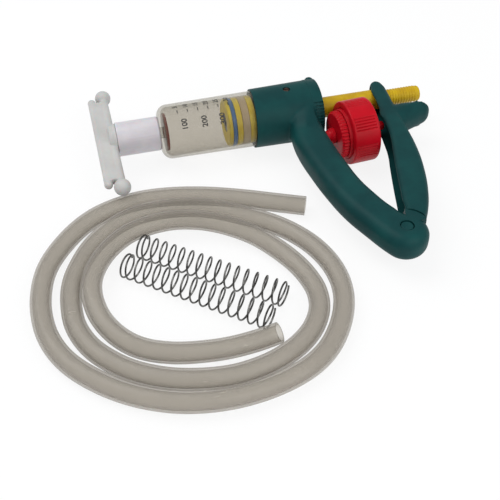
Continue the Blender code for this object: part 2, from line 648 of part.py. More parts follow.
def make_body():
    """The green moulding: sleeve, leg and clevis eye in one, bored for the barrel."""
    outer = [(SLEEVE_REAR_X, SLEEVE_REAR_R), (SLEEVE_FRONT_X + SLEEVE_EDGE, SLEEVE_FRONT_R),
             (SLEEVE_FRONT_X, SLEEVE_FRONT_R - SLEEVE_EDGE / 2.0)]
    body = turned("body", outer)
    place(body, LAYOUT, rotation=ALONG_X)
    leg = as_mesh(outline("leg_blank", [leg_outline()], HANDLE_HALF_T, HANDLE_ROUND, steps=2, smooth_points=True),
                  "leg", TOOLS)
    leg.parent = LAYOUT
    boolean(body, leg, "UNION")
    lug = ball("lug", LUG_R, (0.0, 0.0, 0.0))
    reach = SLEEVE_REAR_R + LUG_PROUD - LUG_R
    a = math.radians(LUG_ANGLE)
    place(lug, LAYOUT, at=(LUG_X, reach * math.cos(a), reach * math.sin(a)))
    boolean(body, lug, "UNION")
    bore = rod_along("sleeve_bore", BARREL_REAR_R + CLEAR, (SLEEVE_FRONT_X - 2.0 * MM, 0.0, 0.0),
                     (SLEEVE_REAR_X + 8.0 * MM, 0.0, 0.0), steps=ROUND)
    bore.parent = LAYOUT
    boolean(body, bore)
    slot_r = TONGUE_R + SLOT_GAP
    slot_half = TONGUE_HALF_T + CLEAR
    slot = rod_along("eye_slot", slot_r, (PIVOT_X, PIVOT_Y, -slot_half), (PIVOT_X, PIVOT_Y, slot_half), steps=32)
    slot.parent = LAYOUT
    boolean(body, slot)
    over = HANDLE_HALF_T + BEYOND
    hole = rod_along("pin_hole", PIN_R + CLEAR, (PIVOT_X, PIVOT_Y, -over), (PIVOT_X, PIVOT_Y, over), steps=FINE)
    hole.parent = LAYOUT
    boolean(body, hole)
    seat = rod_along("pin_head_seat", PIN_HEAD_R + CLEAR, (PIVOT_X, PIVOT_Y, HANDLE_HALF_T - PIN_HEAD_T - PIN_SUNK),
                     (PIVOT_X, PIVOT_Y, over), steps=FINE)
    seat.parent = LAYOUT
    boolean(body, seat)
    screw = rod_along("screw_hole", SCREW_R + CLEAR, (SCREW_X, 0.0, BARREL_REAR_R - 1.0 * MM),
                      (SCREW_X, 0.0, SLEEVE_REAR_R + 2.0 * MM), steps=SMALL)
    screw.parent = LAYOUT
    boolean(body, screw)
    axle = wheel_point(-stud_tip_reach() - CLEAR)
    socket = rod_along("stud_socket", STUD_R + CLEAR, axle, wheel_point(0.0), steps=FINE)
    socket.parent = LAYOUT
    boolean(body, socket)
    paint(body, "green_moulding")


def wheel_point(along):
    """A point on the dose wheel's axis, counted from the wheel's middle."""
    a = math.radians(WHEEL_TILT)
    return (WHEEL_X + along * math.cos(a), WHEEL_Y + along * math.sin(a), 0.0)


def stud_tip_reach():
    """How far the stud's round nose lies from the wheel's middle: it seats in the leg's inner side."""
    a = math.radians(WHEEL_TILT)
    return (WHEEL_X - LEG_SIDE_X) / math.cos(a) + STUD_SEAT


def make_rear_cap():
    """The ribbed ring at the sleeve's rear, which holds the barrel in and guides the rod."""
    band_x = SLEEVE_REAR_X + CLEAR
    band = outline("rear_cap_blank", [ribbed_circle(SLEEVE_REAR_R, CAP_BAND_RIB_DEPTH, CAP_BAND_RIBS)],
                   -band_x / 2.0)
    cap = as_mesh(band, "rear_cap", PARTS)
    place(cap, LAYOUT, at=(band_x / 2.0, 0.0, 0.0), rotation=ALONG_X)
    spigot_x = band_x - SPIGOT_LENGTH
    spigot = turned("rear_spigot", [(band_x + 1.0 * MM, BARREL_REAR_R), (spigot_x, BARREL_REAR_R)],
                    steps=ROUND, collection=TOOLS)
    place(spigot, LAYOUT, rotation=ALONG_X)
    boolean(cap, spigot, "UNION")
    hole = rod_along("rod_hole", ROD_R + CLEAR, (spigot_x - 2.0 * MM, 0.0, 0.0), (2.0 * MM, 0.0, 0.0), steps=FINE)
    hole.parent = LAYOUT
    boolean(cap, hole)
    paint(cap, "green_moulding")

    low = BARREL_REAR_R + CLEAR
    screw = rod_along("locking_screw", SCREW_R, (0.0, 0.0, low), (0.0, 0.0, SLEEVE_REAR_R - 0.5 * MM))
    TOOLS.objects.unlink(screw)
    PARTS.objects.link(screw)
    slot = box("screw_slot", (SCREW_R * 3.0, 0.7 * MM, 0.8 * MM), (0.0, 0.0, SLEEVE_REAR_R - 0.5 * MM))
    place(slot, LAYOUT, at=(SCREW_X, 0.0, 0.0))
    boolean(screw, slot)
    place(paint(screw, "dark_steel"), LAYOUT, at=(SCREW_X, 0.0, 0.0))


def box(name, size, at):
    """A plain block, for cutting and joining."""
    work = bmesh.new()
    bmesh.ops.create_cube(work, size=1.0)
    work.transform(Matrix.Translation(at) @ Matrix.Diagonal((*size, 1.0)))
    mesh = bpy.data.meshes.new(name)
    work.to_mesh(mesh)
    work.free()
    return add_mesh(name, mesh, TOOLS)


def lever_outline():
    """The lever's side outline down to its tongue at the pivot."""
    front = [(x * MM, y * MM) for x, y in LEVER_FRONT]
    tongue = circle(TONGUE_R, 7, PIVOT_X, PIVOT_Y, start=80.0, end=370.0)
    back = [(x * MM, y * MM) for x, y in LEVER_BACK]
    top = [(x * MM, y * MM) for x, y in LEVER_TOP]
    return front + tongue + back + top


def channel_outline():
    """The lever's hollow: its front side reaches past the lever, its back side keeps the back wall."""
    front = [(x * MM, y * MM) for x, y in CHANNEL_FRONT]
    back = [(x * MM - LEVER_WALL, y * MM) for x, y in LEVER_BACK[1:] if y < 0.0]
    return front + back + [(LEVER_BACK_X - LEVER_WALL, front[0][1])]


def make_lever():
    """The squeeze lever: a channel open towards the barrel, a hood round the rod, a horn and a tongue."""
    hinge = empty("lever_hinge", LAYOUT, at=(PIVOT_X, PIVOT_Y, 0.0))
    lever = as_mesh(outline("lever_blank", [lever_outline()], LEVER_HALF_T, LEVER_ROUND, steps=1,
                            smooth_points=True), "lever", PARTS)
    lever.data.transform(Matrix.Translation((-PIVOT_X, -PIVOT_Y, 0.0)))
    place(lever, hinge)
    horn = as_mesh(outline("horn_blank", [[(x * MM, y * MM) for x, y in HORN]], HORN_HALF_T, HORN_ROUND, steps=2,
                           smooth_points=True), "horn", TOOLS)
    horn.parent = LAYOUT
    boolean(lever, horn, "UNION")
    channel = as_mesh(outline("channel_blank", [channel_outline()], CHANNEL_HALF_T), "channel", TOOLS)
    channel.parent = LAYOUT
    boolean(lever, channel)
    for side in (-1.0, 1.0):
        cheek = rod_along("cheek_room", EYE_R + CHEEK_GAP,
                          (PIVOT_X, PIVOT_Y, side * TONGUE_HALF_T),
                          (PIVOT_X, PIVOT_Y, side * (LEVER_HALF_T + BEYOND)), steps=32)
        cheek.parent = LAYOUT
        boolean(lever, cheek)
    passage = outline("tail_blank", [stadium(TAIL_R + PASSAGE_GAP, PASSAGE_STRETCH)], PASSAGE_HALF)
    passage = as_mesh(passage, "tail_passage", TOOLS)
    place(passage, LAYOUT, at=(LEVER_BACK_X, PASSAGE_Y, 0.0), rotation=ALONG_X)
    boolean(lever, passage)
    over = LEVER_HALF_T + BEYOND
    hole = rod_along("tongue_hole", PIN_R + CLEAR, (PIVOT_X, PIVOT_Y, -over), (PIVOT_X, PIVOT_Y, over), steps=FINE)
    hole.parent = LAYOUT
    boolean(lever, hole)
    pocket_half = (TORSION_TURNS + 1.0) * TORSION_WIRE_R + CLEAR
    pocket = rod_along("spring_pocket", TORSION_R + TORSION_WIRE_R + 2.0 * CLEAR,
                       (PIVOT_X, PIVOT_Y, -pocket_half), (PIVOT_X, PIVOT_Y, pocket_half), steps=FINE)
    pocket.parent = LAYOUT
    boolean(lever, pocket)
    for name, corners in ARM_WAYS.items():
        loop = [(PIVOT_X + x * MM, PIVOT_Y + y * MM) for x, y in corners]
        way = as_mesh(outline(name + "_blank", [loop], pocket_half), name, TOOLS)
        way.parent = LAYOUT
        boolean(lever, way)
    paint(lever, "green_moulding")

    head_top = HANDLE_HALF_T - PIN_SUNK
    head_low = head_top - PIN_HEAD_T + CLEAR
    pin = turned("pivot_pin", [(head_top, PIN_HEAD_R), (head_low, PIN_HEAD_R), (head_low, PIN_R),
                               (-HANDLE_HALF_T, PIN_R)], steps=FINE)
    place(paint(pin, "green_moulding"), LAYOUT, at=(PIVOT_X, PIVOT_Y, 0.0))

    points = []
    per_turn = 12
    rise = 2.0 * TORSION_WIRE_R + 0.1 * MM
    height = TORSION_TURNS * rise
    points.append((*TORSION_LEVER_ARM, height / 2.0))
    for i in range(TORSION_TURNS * per_turn + per_turn // 2):
        a = 2.0 * math.pi * i / per_turn
        z = height / 2.0 - rise * i / per_turn * TORSION_TURNS / (TORSION_TURNS + 0.5)
        points.append((TORSION_R * math.cos(a), TORSION_R * math.sin(a), z))
    points.append((-TORSION_R - TORSION_LEG_BEND[0], TORSION_LEG_BEND[1], -height / 2.0))
    points.append((*TORSION_LEG_ARM, -height / 2.0))
    spring = wire("return_spring", points, TORSION_WIRE_R, sides=1)
    place(paint_curve(spring, "spring_steel"), LAYOUT, at=(PIVOT_X, PIVOT_Y, 0.0))


def stadium(half_width, stretch):
    """A slot outline: half circles moved apart along local Y by stretch in all."""
    top = circle(half_width, 9, 0.0, stretch / 2.0, start=0.0, end=180.0)
    bottom = circle(half_width, 9, 0.0, -stretch / 2.0, start=180.0, end=360.0)
    return top + bottom


def make_dose_wheel():
    """The red wheel on its stud, with the ribbed hub and the stop pin that limits the lever."""
    axle = empty("wheel_axle", LAYOUT, at=(WHEEL_X, WHEEL_Y, 0.0), turn=WHEEL_TILT)
    lip = WHEEL_LIP
    half = WHEEL_HALF_T
    right_bore = STOP_PIN_R + CLEAR
    left_bore = STUD_NECK_R + CLEAR
    outer = arc(half - lip, WHEEL_R - lip, lip, 0.0, 90.0, 3) + arc(-half + lip, WHEEL_R - lip, lip, 90.0, 180.0, 3)
    outer = [(half, HUB_R)] + outer + [(-half, HUB_R)]
    bore = [(-half, left_bore), (0.0, left_bore), (0.0, right_bore), (half, right_bore)]
    wheel = turned("dose_wheel", outer, bore, steps=42)
    place(wheel, axle, rotation=ALONG_X)
    grooves = []
    for panel in range(WHEEL_PANELS):
        for k in range(GROOVES_PER_PANEL):
            angle = panel * 360.0 / WHEEL_PANELS + (k - (GROOVES_PER_PANEL - 1) / 2.0) * GROOVE_STEP
            a = math.radians(angle)
            grooves.append((math.cos(a), math.sin(a)))
    cutter = groove_cutter(grooves)
    place(cutter, axle)
    boolean(wheel, cutter)
    paint(wheel, "red_moulding")

    hub_x = -half - CLEAR
    hub = as_mesh(outline("dose_hub_blank", [ribbed_circle(HUB_R, 0.5 * MM, HUB_RIBS), circle(left_bore, FINE)],
                          HUB_T / 2.0), "dose_hub", PARTS)
    place(paint(hub, "red_moulding"), axle, at=(hub_x - HUB_T / 2.0, 0.0, 0.0), rotation=ALONG_X)

    tip = -stud_tip_reach()
    face = hub_x - HUB_T - CLEAR
    stud = turned("dose_stud", [(-CLEAR, STUD_NECK_R), (face, STUD_NECK_R), (face, STUD_R)]
                  + arc(tip + STUD_ROUND, STUD_R - STUD_ROUND, STUD_ROUND, 90.0, 180.0, 3), steps=FINE)
    place(paint(stud, "red_moulding"), axle, rotation=ALONG_X)

    pin_start = STOP_PIN_TRAVEL + BEYOND
    pin = turned("stop_pin", arc(STOP_PIN_TIP - STOP_PIN_ROUND, STOP_PIN_R - STOP_PIN_ROUND, STOP_PIN_ROUND,
                                 0.0, 90.0, 3)
                 + [(pin_start, STOP_PIN_R)], steps=FINE)
    place(paint(pin, "red_moulding"), axle, rotation=ALONG_X)


def groove_cutter(directions):
    """One cutter that holds all the wheel rim's short grooves."""
    length = 2.0 * (WHEEL_HALF_T - WHEEL_LIP - 0.6 * MM)
    work = bmesh.new()
    for y, z in directions:
        made = bmesh.ops.create_cone(work, cap_ends=True, segments=4, radius1=GROOVE_R, radius2=GROOVE_R,
                                     depth=length)
        turn = Matrix.Rotation(math.pi / 2.0, 4, "Y")
        shift = Matrix.Translation((0.0, WHEEL_R * y, WHEEL_R * z))
        bmesh.ops.transform(work, matrix=shift @ turn, verts=made["verts"])
    mesh = bpy.data.meshes.new("rim_grooves")
    work.to_mesh(mesh)
    work.free()
    return add_mesh("rim_grooves", mesh, TOOLS)


def make_hose_and_springs():
    """The loose hose on the floor, and the two springs that guard it against kinks."""
    route = [Vector((x * MM, y * MM, z * MM - AXIS_HEIGHT)) for x, y, z in HOSE_ROUTE]
    hose = wire("feed_hose", route, HOSE_R, sides=2)
    place(paint_curve(hose, "hose_pvc"), LAYOUT)
    for name, (start, end) in zip(("hose_spring_a", "hose_spring_b"), GUARD_ENDS):
        dx = (end[0] - start[0]) * MM
        dy = (end[1] - start[1]) * MM
        length = math.hypot(dx, dy)
        spring = wire(name, coil(length, GUARD_R - GUARD_WIRE_R, GUARD_TURNS, per_turn=8, closed_turns=1.0),
                      GUARD_WIRE_R, sides=0)
        place(paint_curve(spring, "spring_steel"), LAYOUT,
              at=(start[0] * MM, start[1] * MM, GUARD_R - AXIS_HEIGHT), rotation=(0.0, 0.0, math.atan2(dy, dx)))


make_barrel()
make_nose()
make_spray_bar()
make_piston()
make_body()
make_rear_cap()
make_lever()
make_dose_wheel()
make_hose_and_springs()
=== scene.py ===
"""Looks of a pour-on applicator with its feed hose and two hose springs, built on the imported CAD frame.

Places are in millimetres from the layout's own zero, on the barrel's axis at the rear face of the sleeve,
as in the part's source. Layout.at turns them into the frame's metres.
"""
from __future__ import annotations

import logging
import math
from dataclasses import dataclass, replace
from enum import Enum
from typing import Any, Callable, ClassVar, Optional, Sequence, Union

import bmesh
import bpy
from mathutils import Matrix, Vector

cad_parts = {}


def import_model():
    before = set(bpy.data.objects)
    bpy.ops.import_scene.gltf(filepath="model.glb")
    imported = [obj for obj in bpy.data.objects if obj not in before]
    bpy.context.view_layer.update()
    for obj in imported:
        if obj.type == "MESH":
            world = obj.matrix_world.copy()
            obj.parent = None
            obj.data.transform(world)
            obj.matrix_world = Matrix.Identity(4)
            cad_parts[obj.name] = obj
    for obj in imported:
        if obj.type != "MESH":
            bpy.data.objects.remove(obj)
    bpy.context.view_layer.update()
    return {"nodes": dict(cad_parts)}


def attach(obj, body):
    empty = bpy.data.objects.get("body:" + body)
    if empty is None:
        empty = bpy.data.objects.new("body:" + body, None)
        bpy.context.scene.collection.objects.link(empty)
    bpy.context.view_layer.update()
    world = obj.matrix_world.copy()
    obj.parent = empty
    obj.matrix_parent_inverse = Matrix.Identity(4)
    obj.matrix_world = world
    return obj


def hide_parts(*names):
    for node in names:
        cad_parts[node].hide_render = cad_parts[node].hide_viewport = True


LOG = logging.getLogger("applicator")
MM = 0.001
ALONG = Vector((1.0, 0.0, 0.0))
UP = Vector((0.0, 0.0, 1.0))

Pair = tuple[float, float]
Triple = tuple[float, float, float]
Number = Union["Shade", float]
Relief = Callable[[float, int], float]


def tone(red: float, green: float, blue: float) -> tuple[float, float, float, float]:
    """Turn a colour as seen on a screen, 0 to 255, into the renderer's linear colour.

    Args:
        red: Red share, 0 to 255.
        green: Green share, 0 to 255.
        blue: Blue share, 0 to 255.

    Returns:
        Linear red, green, blue and full alpha.
    """
    linear = []
    for value in (red, green, blue):
        share = value / 255.0
        linear.append(share / 12.92 if share <= 0.04045 else ((share + 0.055) / 1.055) ** 2.4)
    return linear[0], linear[1], linear[2], 1.0


class Body(Enum):
    """The CAD bodies that pieces ride on."""

    FRAME = "frame"
    SPRAY_HEAD = "spray_head"
    PLUNGER = "plunger"
    LEVER = "squeeze_lever"
    ADJUSTER = "adjuster"
    STOP = "stop"


class Slot(Enum):
    """The record's material slots."""

    GREEN = "green_moulding"
    YELLOW = "yellow_moulding"
    RED = "red_moulding"
    WHITE = "white_moulding"
    NYLON = "pale_nylon"
    CLEAR = "clear_plastic"
    BLUE = "blue_rubber"
    BROWN = "brown_rubber"
    STEEL = "spring_steel"
    DARK = "dark_steel"
    HOSE = "hose_pvc"


class Solver(Enum):
    """The ways in which solids are joined and cut."""

    EXACT = "EXACT"
    MANIFOLD = "MANIFOLD"


@dataclass(frozen=True)
class Layout:
    """Where the layout's own zero lies in the frame, in millimetres."""

    x: float = 39.25
    y: float = 53.25
    z: float = 20.2

    def at(self, x: float, y: float, z: float) -> Vector:
        """Give a layout place, in millimetres, as a point of the frame, in metres."""
        return Vector(((x + self.x) * MM, (y + self.y) * MM, (z + self.z) * MM))


LAYOUT = Layout()


@dataclass(frozen=True)
class Shade:
    """A shader output that is worked with like a number."""

    graph: "Graph"
    socket: bpy.types.NodeSocket

    def _with(self, operation: str, first: Number, second: Number) -> "Shade":
        """Add the Math node for one operation on two values."""
        return self.graph.node("ShaderNodeMath", {"operation": operation}, {0: first, 1: second})

    def __add__(self, other: Number) -> "Shade":
        """Add a value."""
        return self._with("ADD", self, other)

    def __radd__(self, other: float) -> "Shade":
        """Add to a number."""
        return self._with("ADD", other, self)

    def __sub__(self, other: Number) -> "Shade":
        """Take a value away."""
        return self._with("SUBTRACT", self, other)

    def __mul__(self, other: Number) -> "Shade":
        """Multiply by a value."""
        return self._with("MULTIPLY", self, other)

    def __rmul__(self, other: float) -> "Shade":
        """Multiply a number by this."""
        return self._with("MULTIPLY", other, self)

    def __pow__(self, other: Number) -> "Shade":
        """Raise to a power."""
        return self._with("POWER", self, other)

    def clamped(self, low: float = 0.0, high: float = 1.0) -> "Shade":
        """Keep the value between two limits."""
        return self.graph.node("ShaderNodeClamp", {}, {"Value": self, "Min": low, "Max": high})

    def above(self, edge: float, softness: float) -> "Shade":
        """Give 0 below an edge and 1 above it, over a soft step of the given width."""
        return ((self - edge) * (1.0 / softness)).clamped()


class Graph:
    """A material's nodes, added one at a time."""

    def __init__(self, name: str) -> None:
        """Start an empty material of that name."""
        self.material = bpy.data.materials.new(name)
        self.material.use_nodes = True
        self.tree = self.material.node_tree
        self.tree.nodes.clear()

    def raw(self, kind: str, settings: dict[str, Any], inputs: dict[Any, Any]) -> bpy.types.Node:
        """Add a node, set its settings first and then its sockets.

        Args:
            kind: The node's type.
            settings: Attributes to set, such as a Math node's operation.
            inputs: Values or shades by socket name or index, where None leaves a socket as it is.

        Returns:
            The node.
        """
        node = self.tree.nodes.new(kind)
        for key, value in settings.items():
            setattr(node, key, value)
        for key, value in inputs.items():
            if isinstance(value, Shade):
                self.tree.links.new(value.socket, node.inputs[key])
            elif value is not None:
                node.inputs[key].default_value = value
        return node

    def node(self, kind: str, settings: dict[str, Any], inputs: dict[Any, Any], output: Any = 0) -> Shade:
        """Add a node as raw does, and give one of its outputs by name or index."""
        return Shade(self, self.raw(kind, settings, inputs).outputs[output])

    def place(self) -> Shade:
        """Give the place on the object, in metres."""
        return self.node("ShaderNodeTexCoord", {}, {}, "Object")

    def noise(self, scale: float, detail: float = 3.0, roughness: float = 0.55,
              at: Optional[Shade] = None) -> Shade:
        """Give smooth noise from 0 to 1.

        Args:
            scale: Patches per metre.
            detail: How many finer layers it has.
            roughness: How strong the finer layers are.
            at: Place to read it at, or None for the object's own.

        Returns:
            The noise value.
        """
        inputs = {"Vector": at or self.place(), "Scale": scale, "Detail": detail, "Roughness": roughness}
        return self.node("ShaderNodeTexNoise", {}, inputs)

    def stretched(self, along: Triple) -> Shade:
        """Give the place with each direction scaled."""
        return self.node("ShaderNodeVectorMath", {"operation": "MULTIPLY"}, {0: self.place(), 1: along})

    def mix(self, share: Number, first: Any, second: Any) -> Shade:
        """Mix two colours by the share of the second."""
        return self.node("ShaderNodeMix", {"data_type": "RGBA"}, {0: share, 6: first, 7: second}, 2)

    def bump(self, height: Shade, strength: float, distance: float, normal: Optional[Shade] = None) -> Shade:
        """Turn a height, in shares of a distance in metres, into a bent normal."""
        inputs = {"Height": height, "Strength": strength, "Distance": distance, "Normal": normal}
        return self.node("ShaderNodeBump", {}, inputs)

    def finish(self, shader: Shade) -> bpy.types.Material:
        """Send a shader to the material's output."""
        self.raw("ShaderNodeOutputMaterial", {}, {"Surface": shader})
        return self.material


@dataclass(frozen=True)
class Finish:
    """A surface that builds its own material."""

    name: str

    def make(self) -> bpy.types.Material:
        """Build the material."""
        graph = Graph(self.name)
        return graph.finish(self.surface(graph))

    def surface(self, graph: Graph) -> Shade:
        """Give the surface's shader, which every kind of finish makes in its own way."""
        raise NotImplementedError


@dataclass(frozen=True)
class Moulding(Finish):
    """An opaque moulded plastic or rubber with soft mottling, a fine grain and faint scuffs."""

    colour: Triple
    shadow: Triple
    roughness: float = 0.42
    grain: float = 0.12
    patch: float = 55.0
    scuffs: float = 0.12
    scuff_colour: Triple = (150.0, 160.0, 155.0)
    subsurface: float = 0.0
    rounding: float = 0.0
    gloss: float = 0.3

    def surface(self, graph: Graph) -> Shade:
        """Mottle and scuff the colour, and bend the normal.

        Args:
            graph: The material's nodes.

        Returns:
            The shader.
        """
        patches = graph.noise(self.patch, 4.0)
        colour = graph.mix(patches.above(0.38, 0.3), tone(*self.shadow), tone(*self.colour))
        streaks = graph.noise(260.0, 5.0, 0.7, graph.stretched((0.25, 1.6, 1.0)))
        worn = streaks.above(0.62, 0.12) * graph.noise(38.0, 2.0).above(0.5, 0.25) * self.scuffs
        grain = graph.noise(2600.0, 2.0)
        waves = graph.noise(140.0, 2.0)
        soft = None
        if self.rounding:
            soft = graph.node("ShaderNodeBevel", {"samples": 6}, {"Radius": self.rounding * MM})
        return graph.node("ShaderNodeBsdfPrincipled", {}, {
            "Base Color": graph.mix(worn, colour, tone(*self.scuff_colour)),
            "Roughness": (self.roughness + 0.12 * (patches - 0.5) + 0.25 * worn).clamped(0.05, 0.95),
            "Normal": graph.bump(grain * 0.5 + waves * 0.5, self.grain, 0.00025, soft),
            "IOR": 1.5, "Specular IOR Level": self.gloss,
            "Subsurface Weight": self.subsurface, "Subsurface Scale": 0.002})


@dataclass(frozen=True)
class Wire(Finish):
    """Drawn steel wire with fine streaks and darker patches."""

    colour: Triple
    dark: Triple
    roughness: float = 0.3

    def surface(self, graph: Graph) -> Shade:
        """Give patchy bare metal."""
        patches = graph.noise(420.0, 3.0)
        return graph.node("ShaderNodeBsdfPrincipled", {}, {
            "Base Color": graph.mix(patches.above(0.35, 0.35), tone(*self.dark), tone(*self.colour)),
            "Metallic": 1.0, "Roughness": (self.roughness + 0.2 * (patches - 0.5)).clamped(0.08, 0.9),
            "Normal": graph.bump(graph.noise(5200.0, 2.0), 0.2, 0.00005)})


@dataclass(frozen=True)
class ClearPlastic(Finish):
    """See-through plastic: a tinted way through, mixed with a glossy skin that closes at grazing angles."""

    tint: Triple
    skin: Triple
    low: float
    high: float
    power: float = 3.0
    roughness: float = 0.12
    haze: float = 0.1
    scratches: float = 0.0
    scratch_colour: Triple = (236.0, 230.0, 205.0)

    def surface(self, graph: Graph) -> Shade:
        """Mix the way through with the skin.

        Args:
            graph: The material's nodes.

        Returns:
            The shader.
        """
        facing = graph.node("ShaderNodeLayerWeight", {}, {"Blend": 0.5}, "Facing")
        patches = graph.noise(70.0, 3.0)
        cover = self.low + (self.high - self.low) * facing ** self.power + self.haze * (patches - 0.5)
        streaks = graph.noise(900.0, 2.0, 0.5, graph.stretched((0.12, 1.0, 1.0)))
        marks = streaks.above(0.7, 0.06) * self.scratches
        skin = graph.node("ShaderNodeBsdfPrincipled", {}, {
            "Base Color": graph.mix(marks, tone(*self.skin), tone(*self.scratch_colour)),
            "Roughness": (self.roughness + 0.08 * patches).clamped(0.03, 0.9), "IOR": 1.5,
            "Normal": graph.bump(graph.noise(160.0, 2.0), 0.06, 0.0004)})
        through = graph.node("ShaderNodeBsdfTransparent", {}, {"Color": tone(*self.tint)})
        share = (cover + marks * 0.5).clamped(0.02, 1.0)
        return graph.node("ShaderNodeMixShader", {}, {0: share, 1: through, 2: skin})


@dataclass(frozen=True)
class Ink(Finish):
    """Thin printed ink with small worn spots."""

    colour: Triple
    worn: Triple = (84.0, 80.0, 74.0)

    def surface(self, graph: Graph) -> Shade:
        """Give matt ink."""
        whole = graph.noise(1500.0, 3.0).above(0.30, 0.25)
        colour = graph.mix(whole, tone(*self.worn), tone(*self.colour))
        return graph.node("ShaderNodeBsdfPrincipled", {}, {"Base Color": colour, "Roughness": 0.6})


@dataclass(frozen=True)
class Backdrop(Finish):
    """Plain pale floor that keeps a faint shadow."""

    colour: Triple
    glow: float

    def surface(self, graph: Graph) -> Shade:
        """Mix a matt floor with an even glow that only sight and clear pieces meet."""
        plain = graph.node("ShaderNodeBsdfDiffuse", {}, {"Color": tone(*self.colour)})
        light = graph.node("ShaderNodeEmission", {}, {"Color": (1.0, 1.0, 1.0, 1.0), "Strength": 1.0})
        path = graph.raw("ShaderNodeLightPath", {}, {})
        eye, gloss, clear = (Shade(graph, path.outputs[f"Is {kind} Ray"])
                             for kind in ("Camera", "Glossy", "Transmission"))
        share = (eye + gloss + clear).clamped() * self.glow
        return graph.node("ShaderNodeMixShader", {}, {0: share, 1: plain, 2: light})


class Finishes:
    """Every finish of the applicator, made once."""

    def __init__(self) -> None:
        """Build all the materials."""
        green = Moulding("green_plastic", (15.0, 69.0, 68.0), (10.0, 58.0, 59.0), roughness=0.5,
                         scuff_colour=(56.0, 106.0, 106.0), rounding=0.8, gloss=0.14)
        self.green = green.make()
        self.band = replace(green, name="green_band", rounding=0.15).make()
        self.yellow = Moulding("yellow_plastic", (210.0, 176.0, 12.0), (190.0, 152.0, 8.0), roughness=0.5,
                               patch=120.0, scuff_colour=(150.0, 110.0, 20.0), scuffs=0.2).make()
        # Painted light: the piston gets a brighter, paler copy of the yellow moulding, lit up to make up for
        # the shade inside the clear barrel.
        self.piston = Moulding("piston_yellow_painted_bright", (255.0, 234.0, 90.0), (240.0, 212.0, 66.0),
                               patch=120.0).make()
        self.red = Moulding("red_plastic", (196.0, 8.0, 30.0), (176.0, 4.0, 22.0), roughness=0.4,
                            scuff_colour=(220.0, 90.0, 100.0), rounding=0.3, gloss=0.15).make()
        self.white = Moulding("white_plastic", (198.0, 197.0, 194.0), (186.0, 185.0, 182.0), roughness=0.45,
                              scuff_colour=(172.0, 170.0, 166.0), subsurface=0.2).make()
        self.nylon = Moulding("nylon_plastic", (216.0, 212.0, 215.0), (202.0, 197.0, 201.0), roughness=0.34,
                              scuff_colour=(196.0, 172.0, 184.0), scuffs=0.4, subsurface=0.25,
                              gloss=0.4).make()
        self.blue = Moulding("blue_rubber", (96.0, 144.0, 206.0), (82.0, 126.0, 188.0), roughness=0.4).make()
        self.brown = Moulding("brown_rubber", (150.0, 62.0, 48.0), (122.0, 44.0, 34.0), roughness=0.55).make()
        self.guide = Moulding("guide_plastic", (224.0, 206.0, 176.0), (204.0, 184.0, 154.0)).make()
        self.steel = Wire("spring_wire", (120.0, 119.0, 116.0), (74.0, 73.0, 71.0)).make()
        self.dark = Wire("dark_screw", (120.0, 96.0, 84.0), (66.0, 54.0, 48.0), roughness=0.45).make()
        self.clear = ClearPlastic("barrel_plastic", (236.0, 234.0, 230.0), (190.0, 188.0, 178.0), 0.04, 0.85,
                                  power=2.6, roughness=0.05, haze=0.03).make()
        self.hose = ClearPlastic("hose_plastic", (240.0, 238.0, 234.0), (176.0, 170.0, 162.0), 0.20, 0.94,
                                 power=1.8, roughness=0.18, haze=0.08, scratches=0.35).make()
        self.ink = Ink("scale_ink", (22.0, 20.0, 20.0)).make()


